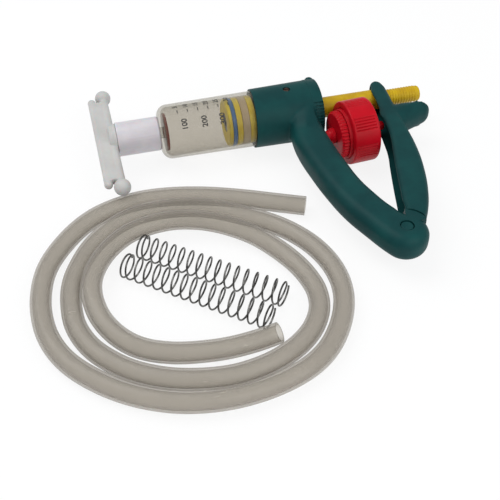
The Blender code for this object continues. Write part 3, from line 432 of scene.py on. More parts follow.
class Maker:
    """Turns outlines, profiles and routes into meshes in the frame's metres."""

    @staticmethod
    def link(name: str, data: bpy.types.ID) -> bpy.types.Object:
        """Put a mesh, curve, text, camera or lamp into the scene as a new object."""
        made = bpy.data.objects.new(name, data)
        bpy.context.scene.collection.objects.link(made)
        return made

    @staticmethod
    def frame_along(origin: Vector, direction: Vector) -> Matrix:
        """Give the matrix that lays the +Z of a shape along a direction at a place."""
        turn = direction.to_track_quat("Z", "Y").to_matrix().to_4x4()
        return Matrix.Translation(origin) @ turn

    @classmethod
    def lathe(cls, name: str, profile: Sequence[Pair], origin: Vector, direction: Vector, steps: int = 96,
              relief: Optional[Relief] = None, ring: bool = False) -> bpy.types.Object:
        """Turn a profile round an axis, with an angular relief where it is given.

        Args:
            name: The object's name.
            profile: Pairs of height along the axis and radius, in millimetres, from the far end back.
            origin: The axis's zero, in metres.
            direction: The way the axis points.
            steps: Points round the axis.
            relief: Gives how far a point is cut back, in millimetres, from its angle and profile index.
            ring: True where the profile is a closed loop, as for a tube.

        Returns:
            The new object.
        """
        work = bmesh.new()
        rows = []
        for index, (height, radius) in enumerate(profile):
            row = []
            for step in range(steps):
                angle = 2.0 * math.pi * step / steps
                reach = radius - (relief(angle, index) if relief else 0.0)
                out = reach * MM
                row.append(work.verts.new((out * math.cos(angle), out * math.sin(angle), height * MM)))
            rows.append(row)
        pairs = list(zip(rows, rows[1:]))
        if ring:
            pairs.append((rows[-1], rows[0]))
        for upper, lower in pairs:
            cls.bridge(work, upper, lower)
        if not ring:
            work.faces.new(list(reversed(rows[0])))
            work.faces.new(rows[-1])
        bmesh.ops.recalc_face_normals(work, faces=work.faces)
        work.transform(cls.frame_along(origin, direction))
        return cls.from_bmesh(name, work)

    @staticmethod
    def bridge(work: bmesh.types.BMesh, one: Sequence[bmesh.types.BMVert],
               two: Sequence[bmesh.types.BMVert]) -> None:
        """Close the way between two rings of points with faces."""
        for step in range(len(one)):
            after = (step + 1) % len(one)
            work.faces.new((one[step], one[after], two[after], two[step]))

    @classmethod
    def from_bmesh(cls, name: str, work: bmesh.types.BMesh) -> bpy.types.Object:
        """Turn a working mesh into an object with smooth faces and sharp creases."""
        mesh = bpy.data.meshes.new(name)
        work.to_mesh(mesh)
        work.free()
        made = cls.link(name, mesh)
        cls.smooth(made)
        return made

    @staticmethod
    def smooth(made: bpy.types.Object, angle: float = 35.0) -> None:
        """Shade an object smoothly except over creases sharper than an angle, in degrees."""
        made.data.shade_smooth()
        made.data.set_sharp_from_angle(angle=math.radians(angle))

    @classmethod
    def slab(cls, name: str, loop: Sequence[Pair], half: float, rounding: float, z: float = 0.0,
             curved: bool = True, fine: int = 6) -> bpy.types.Object:
        """Make a flat solid with rounded edges from an outline, in the layout's plane.

        Args:
            name: The object's name.
            loop: The outline's points, in layout millimetres.
            half: Half of the thickness.
            rounding: Radius of the rounded edges.
            z: Height of the middle over the barrel's axis.
            curved: True where the outline runs smoothly through its points.
            fine: Steps for each rounded edge.

        Returns:
            The new object.
        """
        data = bpy.data.curves.new(name, "CURVE")
        data.dimensions = "2D"
        data.fill_mode = "BOTH"
        data.extrude = (half - rounding) * MM
        data.bevel_depth = rounding * MM
        data.offset = -rounding * MM
        data.bevel_resolution = fine
        data.resolution_u = 10
        if curved:
            spline = data.splines.new("BEZIER")
            spline.bezier_points.add(len(loop) - 1)
            for point, (x, y) in zip(spline.bezier_points, loop):
                point.co = (x * MM, y * MM, 0.0)
                point.handle_left_type = "AUTO"
                point.handle_right_type = "AUTO"
        else:
            spline = data.splines.new("POLY")
            spline.points.add(len(loop) - 1)
            for point, (x, y) in zip(spline.points, loop):
                point.co = (x * MM, y * MM, 0.0, 1.0)
        spline.use_cyclic_u = True
        curve = cls.link(name, data)
        return cls.settled(curve, name, Matrix.Translation(LAYOUT.at(0.0, 0.0, z)))

    @classmethod
    def plate(cls, name: str, corners: Sequence[Pair], half: float, z: float = 0.0) -> bpy.types.Object:
        """Make a flat solid with straight sides and sharp edges, as a tool to cut with."""
        return cls.slab(name, corners, half, 0.0, z, curved=False)

    @classmethod
    def settled(cls, source: bpy.types.Object, name: str, matrix: Matrix) -> bpy.types.Object:
        """Turn a curve, or an object with modifiers, into one welded mesh.

        Args:
            source: The object to turn, which is removed.
            name: The new object's name.
            matrix: Where the mesh goes.

        Returns:
            The new object.
        """
        bpy.context.view_layer.update()
        graph = bpy.context.evaluated_depsgraph_get()
        mesh = bpy.data.meshes.new_from_object(source.evaluated_get(graph))
        bpy.data.objects.remove(source, do_unlink=True)
        work = bmesh.new()
        work.from_mesh(mesh)
        bmesh.ops.remove_doubles(work, verts=work.verts, dist=0.000005)
        bmesh.ops.recalc_face_normals(work, faces=work.faces)
        work.transform(matrix)
        work.to_mesh(mesh)
        work.free()
        mesh.materials.clear()
        made = cls.link(name, mesh)
        cls.smooth(made)
        return made

    @classmethod
    def cut(cls, base: bpy.types.Object, away: Sequence[bpy.types.Object],
            joined: Sequence[bpy.types.Object] = (), solver: Solver = Solver.MANIFOLD) -> bpy.types.Object:
        """Join tools to a solid, cut others away from it, and remove them all.

        Args:
            base: The solid.
            away: Tools to cut with.
            joined: Tools to join first.
            solver: The way it is worked out.

        Returns:
            The new solid.
        """
        used = [(tool, "UNION") for tool in joined] + [(tool, "DIFFERENCE") for tool in away]
        for tool, operation in used:
            step = base.modifiers.new(operation.lower(), "BOOLEAN")
            step.operation = operation
            step.solver = solver.value
            step.object = tool
        name = base.name
        made = cls.settled(base, name, Matrix.Identity(4))
        for tool, _ in used:
            bpy.data.objects.remove(tool, do_unlink=True)
        made.name = name
        return made

    @classmethod
    def turned(cls, name: str, profile: Sequence[Pair], steps: int = 96, relief: Optional[Relief] = None,
               ring: bool = False) -> bpy.types.Object:
        """Turn a profile round the barrel's axis, as lathe does, with heights as layout X."""
        return cls.lathe(name, profile, LAYOUT.at(0.0, 0.0, 0.0), ALONG, steps, relief, ring)

    @classmethod
    def ball(cls, radius: float, place: Triple) -> bpy.types.Object:
        """Make a fine ball at a layout place, as a tool to join with."""
        work = bmesh.new()
        bmesh.ops.create_uvsphere(work, u_segments=40, v_segments=24, radius=radius * MM)
        work.transform(Matrix.Translation(LAYOUT.at(*place)))
        return cls.from_bmesh("ball", work)

    @classmethod
    def hull(cls, name: str, points: Sequence[Triple]) -> bpy.types.Object:
        """Wrap layout points in the smallest solid without hollows."""
        work = bmesh.new()
        corners = [work.verts.new(LAYOUT.at(*point)) for point in points]
        bmesh.ops.convex_hull(work, input=corners)
        bmesh.ops.recalc_face_normals(work, faces=work.faces)
        return cls.from_bmesh(name, work)

    @classmethod
    def melted(cls, name: str, solids: Sequence[bpy.types.Object], voxel: float,
               passes: int) -> bpy.types.Object:
        """Fuse overlapping solids into one skin with softly filled inner corners.

        Args:
            name: The new object's name.
            solids: The solids, which are removed.
            voxel: Size of the skin's faces in millimetres.
            passes: How often the skin is smoothed.

        Returns:
            The new object.
        """
        work = bmesh.new()
        for solid in solids:
            work.from_mesh(solid.data)
            bpy.data.objects.remove(solid, do_unlink=True)
        mesh = bpy.data.meshes.new(name)
        work.to_mesh(mesh)
        work.free()
        made = cls.link("melting", mesh)
        fuse = made.modifiers.new("fuse", "REMESH")
        fuse.mode = "VOXEL"
        fuse.voxel_size = voxel * MM
        soften = made.modifiers.new("soften", "SMOOTH")
        soften.factor = 0.5
        soften.iterations = passes
        return cls.settled(made, name, Matrix.Identity(4))

    @classmethod
    def rod(cls, radius: float, start: Triple, end: Triple, steps: int = 48) -> bpy.types.Object:
        """Make a plain round rod between two layout places, as a tool to join or cut with."""
        first = LAYOUT.at(*start)
        axis = LAYOUT.at(*end) - first
        return cls.lathe("tool", [(axis.length / MM, radius), (0.0, radius)], first, axis, steps)

    @classmethod
    def tube(cls, name: str, points: Sequence[Vector], radius: float, inner: float = 0.0,
             steps: int = 24) -> bpy.types.Object:
        """Sweep a round tube or wire along a route without twisting it.

        Args:
            name: The object's name.
            points: The route, in metres.
            radius: Outer radius in millimetres.
            inner: Inner radius of an open tube, or 0 for a solid wire with closed ends.
            steps: Points round the tube.

        Returns:
            The new object.
        """
        work = bmesh.new()
        side = UP
        rings: list[list[list[bmesh.types.BMVert]]] = []
        for index, point in enumerate(points):
            before = points[max(index - 1, 0)]
            after = points[min(index + 1, len(points) - 1)]
            ahead = (after - before).normalized()
            side = (side - ahead * side.dot(ahead)).normalized()
            across = ahead.cross(side)
            layers = []
            for reach in ((radius, inner) if inner else (radius,)):
                ring = []
                for step in range(steps):
                    angle = 2.0 * math.pi * step / steps
                    out = side * math.cos(angle) + across * math.sin(angle)
                    ring.append(work.verts.new(point + out * reach * MM))
                layers.append(ring)
            rings.append(layers)
        for first, second in zip(rings, rings[1:]):
            for one, two in zip(first, second):
                cls.bridge(work, one, two)
        for layers in (rings[0], rings[-1]):
            if inner:
                cls.bridge(work, layers[0], layers[1])
            else:
                work.faces.new(layers[0])
        bmesh.ops.recalc_face_normals(work, faces=work.faces)
        return cls.from_bmesh(name, work)


def arc(height: float, radius: float, size: float, start: float, end: float, count: int) -> list[Pair]:
    """Give points on an arc of a profile.

    Args:
        height: Height of the arc's middle along the axis.
        radius: Radius of the arc's middle.
        size: The arc's own radius.
        start: First angle in degrees, from the axis towards the outside.
        end: Last angle in degrees.
        count: How many steps it has.

    Returns:
        Pairs of height and radius.
    """
    angles = [math.radians(start + index * (end - start) / count) for index in range(count + 1)]
    return [(height + size * math.cos(angle), radius + size * math.sin(angle)) for angle in angles]


def ring_points(radius: float, count: int, middle: Pair, start: float, end: float) -> list[Pair]:
    """Give points on an arc in the layout's plane, by angle in degrees."""
    angles = [math.radians(start + index * (end - start) / (count - 1)) for index in range(count)]
    return [(middle[0] + radius * math.cos(angle), middle[1] + radius * math.sin(angle)) for angle in angles]


def rectangle(low: Pair, high: Pair) -> list[Pair]:
    """Give the corners between two opposite ones."""
    return [low, (high[0], low[1]), high, (low[0], high[1])]


def smooth_route(points: Sequence[Vector], per_span: int) -> list[Vector]:
    """Run a smooth curve through points.

    Args:
        points: The points to go through.
        per_span: Points on each span between two of them.

    Returns:
        The curve's points.
    """
    ends = [2.0 * points[0] - points[1], *points, 2.0 * points[-1] - points[-2]]
    route = []
    for index in range(1, len(ends) - 2):
        a, b, c, d = ends[index - 1:index + 3]
        for step in range(per_span):
            t = step / per_span
            route.append(0.5 * (2.0 * b + (c - a) * t + (2.0 * a - 5.0 * b + 4.0 * c - d) * t ** 2
                                + (3.0 * b - a - 3.0 * c + d) * t ** 3))
    route.append(points[-1].copy())
    return route


def dress(piece: bpy.types.Object, finish: bpy.types.Material, body: Body,
          stands_for: Sequence[str] = ()) -> bpy.types.Object:
    """Give a piece its finish, its body and the CAD nodes that it stands for.

    Args:
        piece: The piece.
        finish: Its material.
        body: The CAD body that it moves with.
        stands_for: CAD nodes that it replaces.

    Returns:
        The same piece.
    """
    piece.data.materials.clear()
    piece.data.materials.append(finish)
    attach(piece, body.value)
    if stands_for:
        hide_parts(*stands_for)
    LOG.info("%s rides on %s", piece.name, body.value)
    return piece


@dataclass
class Camera:
    """The photograph's viewpoint, in millimetres and degrees."""

    x: float = -115.65
    y: float = -371.45
    z: float = 353.3
    tilt: float = 44.0
    turn: float = -14.3
    lens: float = 61.2
    film: float = 36.0
    near: float = 0.01

    def build(self) -> None:
        """Make the camera and use it."""
        data = bpy.data.cameras.new("view_camera")
        data.sensor_width = self.film
        data.sensor_height = self.film
        data.sensor_fit = "AUTO"
        data.lens = self.lens
        data.clip_start = self.near
        seat = Maker.link("view_camera", data)
        seat.location = (self.x * MM, self.y * MM, self.z * MM)
        seat.rotation_euler = (math.radians(self.tilt), 0.0, math.radians(self.turn))
        bpy.context.scene.camera = seat
        LOG.info("camera placed")


@dataclass
class Assembly:
    """Pieces that are built together from one set of finishes."""

    finishes: Finishes

    def build(self) -> None:
        """Make the pieces, which every assembly does in its own way."""
        raise NotImplementedError


@dataclass
class FeedHose(Assembly):
    """The clear hose on the floor, open at both ends."""

    outer: float = 5.8
    inner: float = 4.5
    length: float = 1.153
    diameter: float = 0.012
    per_span: int = 5

    def build(self) -> None:
        path = smooth_route([LAYOUT.at(x, y, z - LAYOUT.z) for x, y, z in HOSE_ROUTE], self.per_span)
        hose = Maker.tube("hose_tube", path, self.outer, self.inner, steps=32)
        dress(hose, self.finishes.hose, Body.FRAME, ["feed_hose"])


@dataclass
class GuardSpring(Assembly):
    """One of the two open springs that keep the hose from kinking."""

    name: str
    node: str
    start: Pair
    end: Pair
    radius: float = 7.25
    wire: float = 0.55
    closed_pitch: float = 2.3
    turns: int = 17
    per_turn: int = 28

    def build(self) -> None:
        """Wind the spring, with a closed turn at each end."""
        first = LAYOUT.at(*self.start, self.radius - LAYOUT.z)
        run = LAYOUT.at(*self.end, self.radius - LAYOUT.z) - first
        ahead = run.normalized()
        across = Vector((-ahead.y, ahead.x, 0.0))
        closed = self.closed_pitch * self.wire * MM
        reach = (self.radius - self.wire) * MM
        points = []
        for index in range(self.turns * self.per_turn + 1):
            turn = index / self.per_turn
            if turn < 1.0:
                along = turn * closed
            elif turn > self.turns - 1.0:
                along = run.length - (self.turns - turn) * closed
            else:
                along = closed + (turn - 1.0) / (self.turns - 2.0) * (run.length - 2.0 * closed)
            angle = 2.0 * math.pi * turn
            points.append(first + ahead * along + across * (reach * math.cos(angle))
                          + UP * (reach * math.sin(angle)))
        spring = Maker.tube(self.name, points, self.wire, steps=8)
        dress(spring, self.finishes.steel, Body.FRAME, [self.node])


@dataclass
class Barrel(Assembly):
    """The clear barrel with its seal and its printed scale."""

    front: float = -105.5
    rear: float = -8.0
    straight: float = -99.0
    widest: float = -46.0
    front_radius: float = 17.0
    rear_radius: float = 17.6
    bore: float = 15.5
    shoulder: float = 6.5
    wall: float = 2.8
    outlet: float = 3.5
    boss_radius: float = 8.0
    boss_bore: float = 6.2
    boss_length: float = 11.0
    thread_start: float = 2.4
    thread_pitch: float = 2.2
    thread_half: float = 0.7
    thread_depth: float = 0.5
    threads: int = 4
    seal: float = 1.8
    play: float = 0.3
    first_mark: float = -94.2
    pitch: float = 6.4
    marks: int = 6
    tick_half: float = 0.3
    columns: tuple[float, ...] = (-90.6, -78.1, -66.8)
    upright: float = 90.0
    proud: float = 0.1

    def build(self) -> None:
        """Make the barrel and its seal, and print its scale."""
        inner = self.shoulder - self.wall
        boss_end = self.front - self.boss_length
        crest = self.boss_radius
        profile = [(self.rear, self.rear_radius), (self.widest, self.rear_radius)]
        profile += arc(self.front + self.shoulder, self.front_radius - self.shoulder, self.shoulder,
                       90.0, 180.0, 14)
        profile += [(self.front, crest)]
        for turn in range(self.threads):
            start = self.front - self.thread_start - self.thread_pitch * turn
            profile += [(start, crest), (start - self.thread_half, crest - self.thread_depth),
                        (start - 2.0 * self.thread_half, crest)]
        profile += [(boss_end, crest), (boss_end, self.boss_bore), (self.front, self.boss_bore),
                    (self.front, self.outlet), (self.front + self.wall, self.outlet)]
        profile += arc(self.front + self.wall + inner, self.bore - inner, inner, 180.0, 90.0, 10)
        profile += [(self.rear, self.bore)]
        shell = Maker.turned("barrel_shell", profile, steps=128, ring=True)
        dress(shell, self.finishes.clear, Body.FRAME, ["barrel"])
        seat = self.front + self.wall + self.play
        edge = self.bore - inner
        hole = self.outlet + self.play
        seal = Maker.turned("seal_disc", [
            (seat + self.seal, edge - 0.4), (seat + 1.4, edge), (seat, edge), (seat, hole),
            (seat + 1.5, hole), (seat + self.seal, self.outlet + 0.6)], steps=96, ring=True)
        dress(seal, self.finishes.brown, Body.FRAME, ["front_seal"])
        self.scale()

    def scale(self) -> None:
        """Print a row of doses with short lines, and columns of larger numbers round the barrel."""
        for index in range(self.marks):
            x = self.first_mark + index * self.pitch
            self.digits(str(5 * (index + 1)), x, angle=93.0, size=3.0)
            self.tick(f"scale_tick_{index}", x + 0.5, low=74.0, high=82.0)
        for column, x in enumerate(self.columns):
            self.digits(str(100 * (column + 1)), x, angle=48.0, size=3.5)

    def over(self, x: float, angle: float) -> Vector:
        """Give a point just over the barrel's skin, by place along it and angle up from the near side."""
        share = (x - self.straight) / (self.widest - self.straight)
        reach = self.front_radius + self.proud + (self.rear_radius - self.front_radius) * share
        turn = math.radians(angle)
        return LAYOUT.at(x, -reach * math.cos(turn), reach * math.sin(turn))

    def tick(self, name: str, x: float, low: float, high: float) -> None:
        """Print one short line round the barrel.

        Args:
            name: The piece's name.
            x: Place along the barrel.
            low: First angle in degrees.
            high: Last angle in degrees.
        """
        work = bmesh.new()
        rows = []
        for step in range(7):
            angle = low + (high - low) * step / 6.0
            rows.append([work.verts.new(self.over(x + side, angle))
                         for side in (-self.tick_half, self.tick_half)])
        for one, two in zip(rows, rows[1:]):
            work.faces.new((one[0], one[1], two[1], two[0]))
        dress(Maker.from_bmesh(name, work), self.finishes.ink, Body.FRAME)

    def digits(self, text: str, x: float, angle: float, size: float) -> None:
        """Print a plain number on the barrel's skin.

        Args:
            text: The number.
            x: Place of its middle along the barrel.
            angle: Place of its middle round the barrel, in degrees.
            size: Height of the digits in millimetres.
        """
        name = f"scale_number_{text}"
        data = bpy.data.curves.new(name, "FONT")
        data.body = text
        data.size = size * 1.35
        data.offset = 0.035 * size
        data.align_x = "CENTER"
        data.align_y = "CENTER"
        turn = Matrix.Rotation(math.radians(self.upright), 4, "Z")
        made = Maker.settled(Maker.link(name, data), name, turn)
        for vertex in made.data.vertices:
            around = angle + math.degrees(vertex.co.y / self.front_radius)
            vertex.co = self.over(x + vertex.co.x, around)
        dress(made, self.finishes.ink, Body.FRAME)


@dataclass
class Nose(Assembly):
    """The smooth cap on the barrel's boss and the flat spray bar that plugs into it."""

    rear: float = -105.8
    front: float = -132.2
    radius: float = 10.65
    edge: float = 0.5
    lip: float = 0.3
    row: float = 1.2
    rows: int = 19
    flutes: int = 36
    flute_depth: float = 0.025
    shoulder: float = -117.5
    boss: float = 8.3
    throat: float = 2.5
    socket: float = 4.3
    socket_end: float = -121.0
    stub: float = 4.0
    bar: float = -135.2
    bar_radius: float = 2.7
    ball_place: float = 44.8
    ball_radius: float = 5.1
    rail: float = -142.9
    rail_radius: float = 2.5
    rail_half: float = 41.0
    web_half: float = 2.3
    web_length: float = 39.0
    collar: float = -132.3
    collar_radius: float = 10.1
    channel: float = 1.3
    outlet: float = 0.8

    def build(self) -> None:
        """Make the cap and the bar."""
        outer = [(self.rear, self.radius - self.edge), (self.rear - self.edge, self.radius)]
        outer += [(self.rear - self.edge - self.row * step, self.radius) for step in range(1, self.rows + 1)]
        last = len(outer) - 3
        outer += arc(self.front + self.lip, self.radius - self.lip, self.lip, 90.0, 180.0, 8)
        bore = [(self.front, self.socket), (self.socket_end, self.socket), (self.socket_end, self.throat),
                (self.shoulder, self.throat), (self.shoulder, self.boss), (self.rear, self.boss)]

        def ribs(angle: float, index: int) -> float:
            """Cut faint flutes into the cap's side, and nowhere else."""
            return self.flute_depth * (1.0 + math.cos(self.flutes * angle)) if 2 < index < last else 0.0

        cap = Maker.turned("nose_cap", outer + bore, steps=6 * self.flutes, relief=ribs, ring=True)
        dress(cap, self.finishes.nylon, Body.FRAME, ["nozzle_cap"])
        self.spray_bar()

    def spray_bar(self) -> None:
        """Make the bar, its rail, web, balls and stub as one soft moulding."""
        solids = [Maker.rod(radius, (x, -half, 0.0), (x, half, 0.0))
                  for radius, x, half in ((self.bar_radius, self.bar, self.ball_place),
                                          (self.rail_radius, self.rail, self.rail_half))]
        web = rectangle((self.rail, -self.web_length), (self.bar, self.web_length))
        solids.append(Maker.slab("web", web, self.web_half, 0.4, curved=False))
        away = [Maker.rod(self.channel, (self.socket_end + 1.0, 0.0, 0.0), (self.bar, 0.0, 0.0), 24)]
        for side in (-1.0, 1.0):
            y = side * self.ball_place
            solids.append(Maker.ball(self.ball_radius, (self.bar, y, 0.0)))
            solids.append(Maker.ball(self.rail_radius * 1.05, (self.rail, side * self.rail_half, 0.0)))
            away.append(Maker.rod(self.outlet, (self.bar, y, -1.0),
                                  (self.bar, y, -self.ball_radius - 2.0), 24))
        solids.append(Maker.turned("collar", [
            (self.collar, self.collar_radius), (self.collar - 2.0, self.collar_radius - 0.5),
            (self.bar - 1.6, self.collar_radius - 1.8)]))
        bar = Maker.melted("spray_tee", solids, voxel=0.45, passes=5)
        stub = Maker.turned("stub", [
            (self.socket_end - 0.3, self.stub - 0.5), (self.socket_end - 0.8, self.stub),
            (self.bar, self.stub - 1.2)], steps=64)
        bar = Maker.cut(bar, away, [stub])
        dress(bar, self.finishes.white, Body.SPRAY_HEAD, ["spray_bar"])


@dataclass
class Plunger(Assembly):
    """The piston with its two rings, and the hollow rod that ends in the barbed hose tail."""

    front: float = -63.0
    rear: float = -45.5
    radius: float = 15.0
    bore: float = 15.5
    groove_a: float = -60.8
    land_b: float = -57.9
    groove_b: float = -54.5
    land_c: float = -49.5
    floor_a: float = 12.0
    floor_b: float = 13.0
    chamber: float = 6.2
    seat: float = -56.5
    rod: float = 6.6
    rod_bore: float = 2.0
    spigot: float = 4.2
    shoulder: float = 40.1
    tail: float = 5.0
    tail_end: float = 67.9
    barb: float = 5.3
    barb_pitch: float = 1.9
    barbs: int = 11
    play: float = 0.3
    steps: int = 112

    RING: ClassVar[list[Pair]] = [
        (1.3, 12.6), (1.3, 14.7), (0.9, 15.1), (-0.9, 15.1), (-1.3, 14.7), (-1.3, 12.6), (-1.0, 12.3),
        (1.0, 12.3)]

    def build(self) -> None:
        """Make the piston, rings and rod."""
        ledge = self.seat + 2.2
        hole = self.spigot + self.play
        wide = self.radius
        piston = [
            (self.rear, wide - 0.4), (self.rear - 0.4, wide), (self.land_c, wide),
            (self.land_c, self.floor_b), (self.groove_b, self.floor_b), (self.groove_b, wide),
            (self.land_b, wide), (self.land_b, self.floor_a), (self.groove_a, self.floor_a),
            (self.groove_a, wide), (self.front + 0.5, wide),
            (self.front, wide - 0.5), (self.front, self.chamber), (self.seat, self.chamber),
            (self.seat, self.rod_bore), (ledge, self.rod_bore), (ledge, hole), (self.rear, hole)]
        middle = (self.groove_a + self.land_b) / 2.0
        seal = [(middle + x, radius) for x, radius in self.RING]
        near = self.land_c - self.play
        far = self.groove_b + self.play
        edge = self.bore - self.play
        band = [(near, edge), (far, edge), (far, self.floor_b + self.play), (near, self.floor_b + self.play)]
        # The piston's finish is the yellow moulding painted brighter, as painted light against the shade
        # inside the barrel.
        for name, profile, finish, slot, node in (
                ("piston_head", piston, self.finishes.piston, Slot.YELLOW, "piston"),
                ("piston_seal", seal, self.finishes.blue, Slot.BLUE, "piston_ring"),
                ("guide_band", band, self.finishes.guide, Slot.NYLON, "guide_ring")):
            dress(Maker.turned(name, profile, self.steps, ring=True), finish, Body.PLUNGER, [node])
        self.hollow_rod()

    def hollow_rod(self) -> None:
        """Make the rod and its tail with fine ridges that grip the hose."""
        end = self.tail_end
        pitch = self.barb_pitch
        foot = self.rear + 0.3
        inside = self.seat + 2.5
        profile = [(end, self.tail - 0.7), (end - 0.3, self.tail - 0.3), (end - 1.0, self.tail)]
        for index in range(self.barbs):
            x = end - 2.2 - index * pitch
            profile += [(x, self.tail), (x - 0.55 * pitch, self.barb), (x - 0.75 * pitch, self.barb),
                        (x - 0.9 * pitch, self.tail)]
        profile += [(self.shoulder, self.tail), (self.shoulder, self.rod - 0.4),
                    (self.shoulder - 0.4, self.rod), (foot, self.rod), (foot, self.spigot),
                    (inside, self.spigot), (inside, self.rod_bore), (end, self.rod_bore)]
        rod = Maker.turned("plunger_rod", profile, ring=True)
        dress(rod, self.finishes.yellow, Body.PLUNGER, ["piston_rod"])


@dataclass
class Handle(Assembly):
    """The green moulding: sleeve, leg and eye in one, its rear cap, locking screw and pivot pin."""

    sleeve_front: float = -45.4
    sleeve_slant: float = 0.05
    sleeve_rear: float = -9.4
    cap_rear: float = -2.2
    front_radius: float = 18.6
    rear_radius: float = 19.4
    reach: float = 25.0
    bore: float = 17.9
    half: float = 9.0
    rounding: float = 6.8
    pivot: Pair = (10.3, -124.3)
    eye: float = 13.0
    cheek: Pair = (14.0, 74.0)
    opening: Pair = (1.0, 102.0)
    opening_radius: float = 19.0
    slot_radius: float = 9.6
    slot_half: float = 4.8
    pin: float = 2.9
    pin_head: float = 3.7
    screw_place: float = -23.0
    screw_radius: float = 2.0
    groove_length: float = 4.0
    groove_half: float = 0.35
    stud_start: Triple = (-9.75, -30.14, 0.0)
    stud_end: Triple = (12.0, -28.63, 0.0)
    stud_radius: float = 5.3
    play: float = 0.3
    band_ribs: int = 17
    band_step: float = 6.2
    band_depth: float = 1.1
    lug_radius: float = 3.2
    lug_angle: float = 50.0

    FRONT_SIDE: ClassVar[list[Pair]] = [
        (-18.0, 6.0), (-22.4, -6.0), (-25.0, -18.0), (-26.4, -28.0), (-26.6, -40.0), (-24.3, -60.0),
        (-20.8, -79.5), (-15.9, -98.0), (-9.4, -113.5)]
    BACK_SIDE: ClassVar[list[Pair]] = [
        (10.9, -106.4), (8.3, -101.5), (4.6, -92.0), (0.5, -79.0), (-2.3, -62.0), (-4.6, -42.0),
        (-5.4, -30.0), (-5.8, -18.0), (-6.6, -6.0), (-8.0, 6.0)]
    GUSSET: ClassVar[list[Triple]] = [
        (-9.5, -10.5, 15.4), (-15.0, -12.0, 14.2), (-20.5, -14.5, 11.6), (-24.8, -17.0, 7.5),
        (-25.4, -24.0, 4.8), (-24.2, -32.0, 6.2), (-19.0, -30.0, 8.7), (-9.0, -26.0, 8.9), (-14.0, -5.0, 6.0)]

    def build(self) -> None:
        """Make all green pieces of the frame."""
        self.moulding()
        self.rear_cap()
        self.fasteners()

    def moulding(self) -> None:
        """Melt sleeve, leg and gusset together, then cut everything that has a crisp edge."""
        sleeve = Maker.turned("sleeve", [(self.sleeve_rear + 2.5, self.rear_radius - 0.1),
                                         (self.sleeve_front - 5.0, self.front_radius)], steps=128)
        outline = self.FRONT_SIDE + ring_points(self.eye, 12, self.pivot, 205.0, 435.0) + self.BACK_SIDE
        leg = Maker.slab("leg", outline, self.half, self.rounding, fine=8)
        gusset = Maker.hull("gusset", [(a, b, side * c) for a, b, c in self.GUSSET for side in (-1.0, 1.0)])
        body = Maker.melted("handle_body", [sleeve, leg, gusset], voxel=0.7, passes=18)
        cheek = [self.pivot] + ring_points(self.eye, 24, self.pivot, *self.cheek)
        opening = [self.pivot] + ring_points(self.opening_radius, 16, self.pivot, *self.opening)
        near = self.sleeve_front - 8.0
        lean = self.reach * self.sleeve_slant
        front = [(near, -self.reach), (self.sleeve_front - lean, -self.reach),
                 (self.sleeve_front + lean, self.reach), (near, self.reach)]
        x, y = self.pivot
        high = self.half + 1.0
        screw = self.screw_place
        away = [
            Maker.plate("front", front, self.reach),
            Maker.rod(self.bore, (near, 0.0, 0.0), (self.sleeve_rear + 3.0, 0.0, 0.0), 128),
            Maker.rod(self.slot_radius, (x, y, -self.slot_half), (x, y, self.slot_half), 64),
            Maker.plate("opening", opening, self.slot_half),
            Maker.rod(self.pin + self.play, (x, y, -high), (x, y, high)),
            Maker.rod(self.pin_head + self.play, (x, y, self.half - 2.1), (x, y, high)),
            Maker.rod(self.screw_radius + self.play, (screw, 0.0, self.bore - 1.0),
                      (screw, 0.0, self.rear_radius + 2.0)),
            Maker.rod(self.stud_radius, self.stud_start, self.stud_end)]
        body = Maker.cut(body, away, [Maker.slab("cheek", cheek, self.half - 0.1, 0.5, curved=False, fine=3)])
        dress(body, self.finishes.green, Body.FRAME, ["body"])

    def rear_cap(self) -> None:
        """Make the cap whose band is ribbed towards the leg, with its rounded lug."""
        edge = self.sleeve_rear
        rear = self.cap_rear
        wide = self.rear_radius
        outer = [(rear, wide - 0.9), (rear - 0.4, wide - 0.2), (rear - 0.8, wide), (edge + 0.2, wide),
                 (edge, wide - 0.2), (edge, 19.0), (-5.0, 18.8), (-5.0, 17.4), (-7.6, 17.4), (-7.6, 6.9),
                 (rear, 6.9)]
        span = self.band_ribs * self.band_step / 2.0

        def ribs(angle: float, index: int) -> float:
            """Cut square grooves between ribs on the side that faces the leg."""
            around = math.degrees(angle) % 360.0 - 180.0
            if index not in (1, 2, 3) or abs(around) > span:
                return 0.0
            return self.band_depth if (around + span) % self.band_step > 0.5 * self.band_step else 0.0

        cap = Maker.turned("handle_cap", outer, steps=720, relief=ribs, ring=True)
        reach = wide + 1.3 - self.lug_radius
        turn = math.radians(self.lug_angle)
        lug = Maker.ball(self.lug_radius, (rear - 2.5, reach * math.cos(turn), reach * math.sin(turn)))
        dress(Maker.cut(cap, [], [lug]), self.finishes.band, Body.FRAME, ["rear_cap"])

    def fasteners(self) -> None:
        """Make the slotted screw in the sleeve and the pin through the eye."""
        place = self.screw_place
        low = self.bore
        high = self.rear_radius - 0.6
        screw = Maker.lathe("sleeve_screw", [(high, self.screw_radius - 0.4), (high - 0.4, self.screw_radius),
                                             (low, self.screw_radius)], LAYOUT.at(place, 0.0, 0.0), UP, 48)
        groove = Maker.plate("groove", rectangle((place - self.groove_length, -self.groove_half),
                                                 (place + self.groove_length, self.groove_half)), 0.5, high)
        screw = Maker.cut(screw, [groove], solver=Solver.EXACT)
        dress(screw, self.finishes.dark, Body.FRAME, ["locking_screw"])
        head = self.pin_head
        top = self.half - 0.5
        pin = Maker.lathe("eye_pin", [
            (top - 0.25, head - 1.6), (top, head - 1.1), (top, head - 0.4), (top - 0.4, head),
            (top - 1.3, head), (top - 1.3, self.pin), (-self.half, self.pin)],
            LAYOUT.at(*self.pivot, 0.0), UP, 64)
        dress(pin, self.finishes.green, Body.FRAME, ["pivot_pin"])


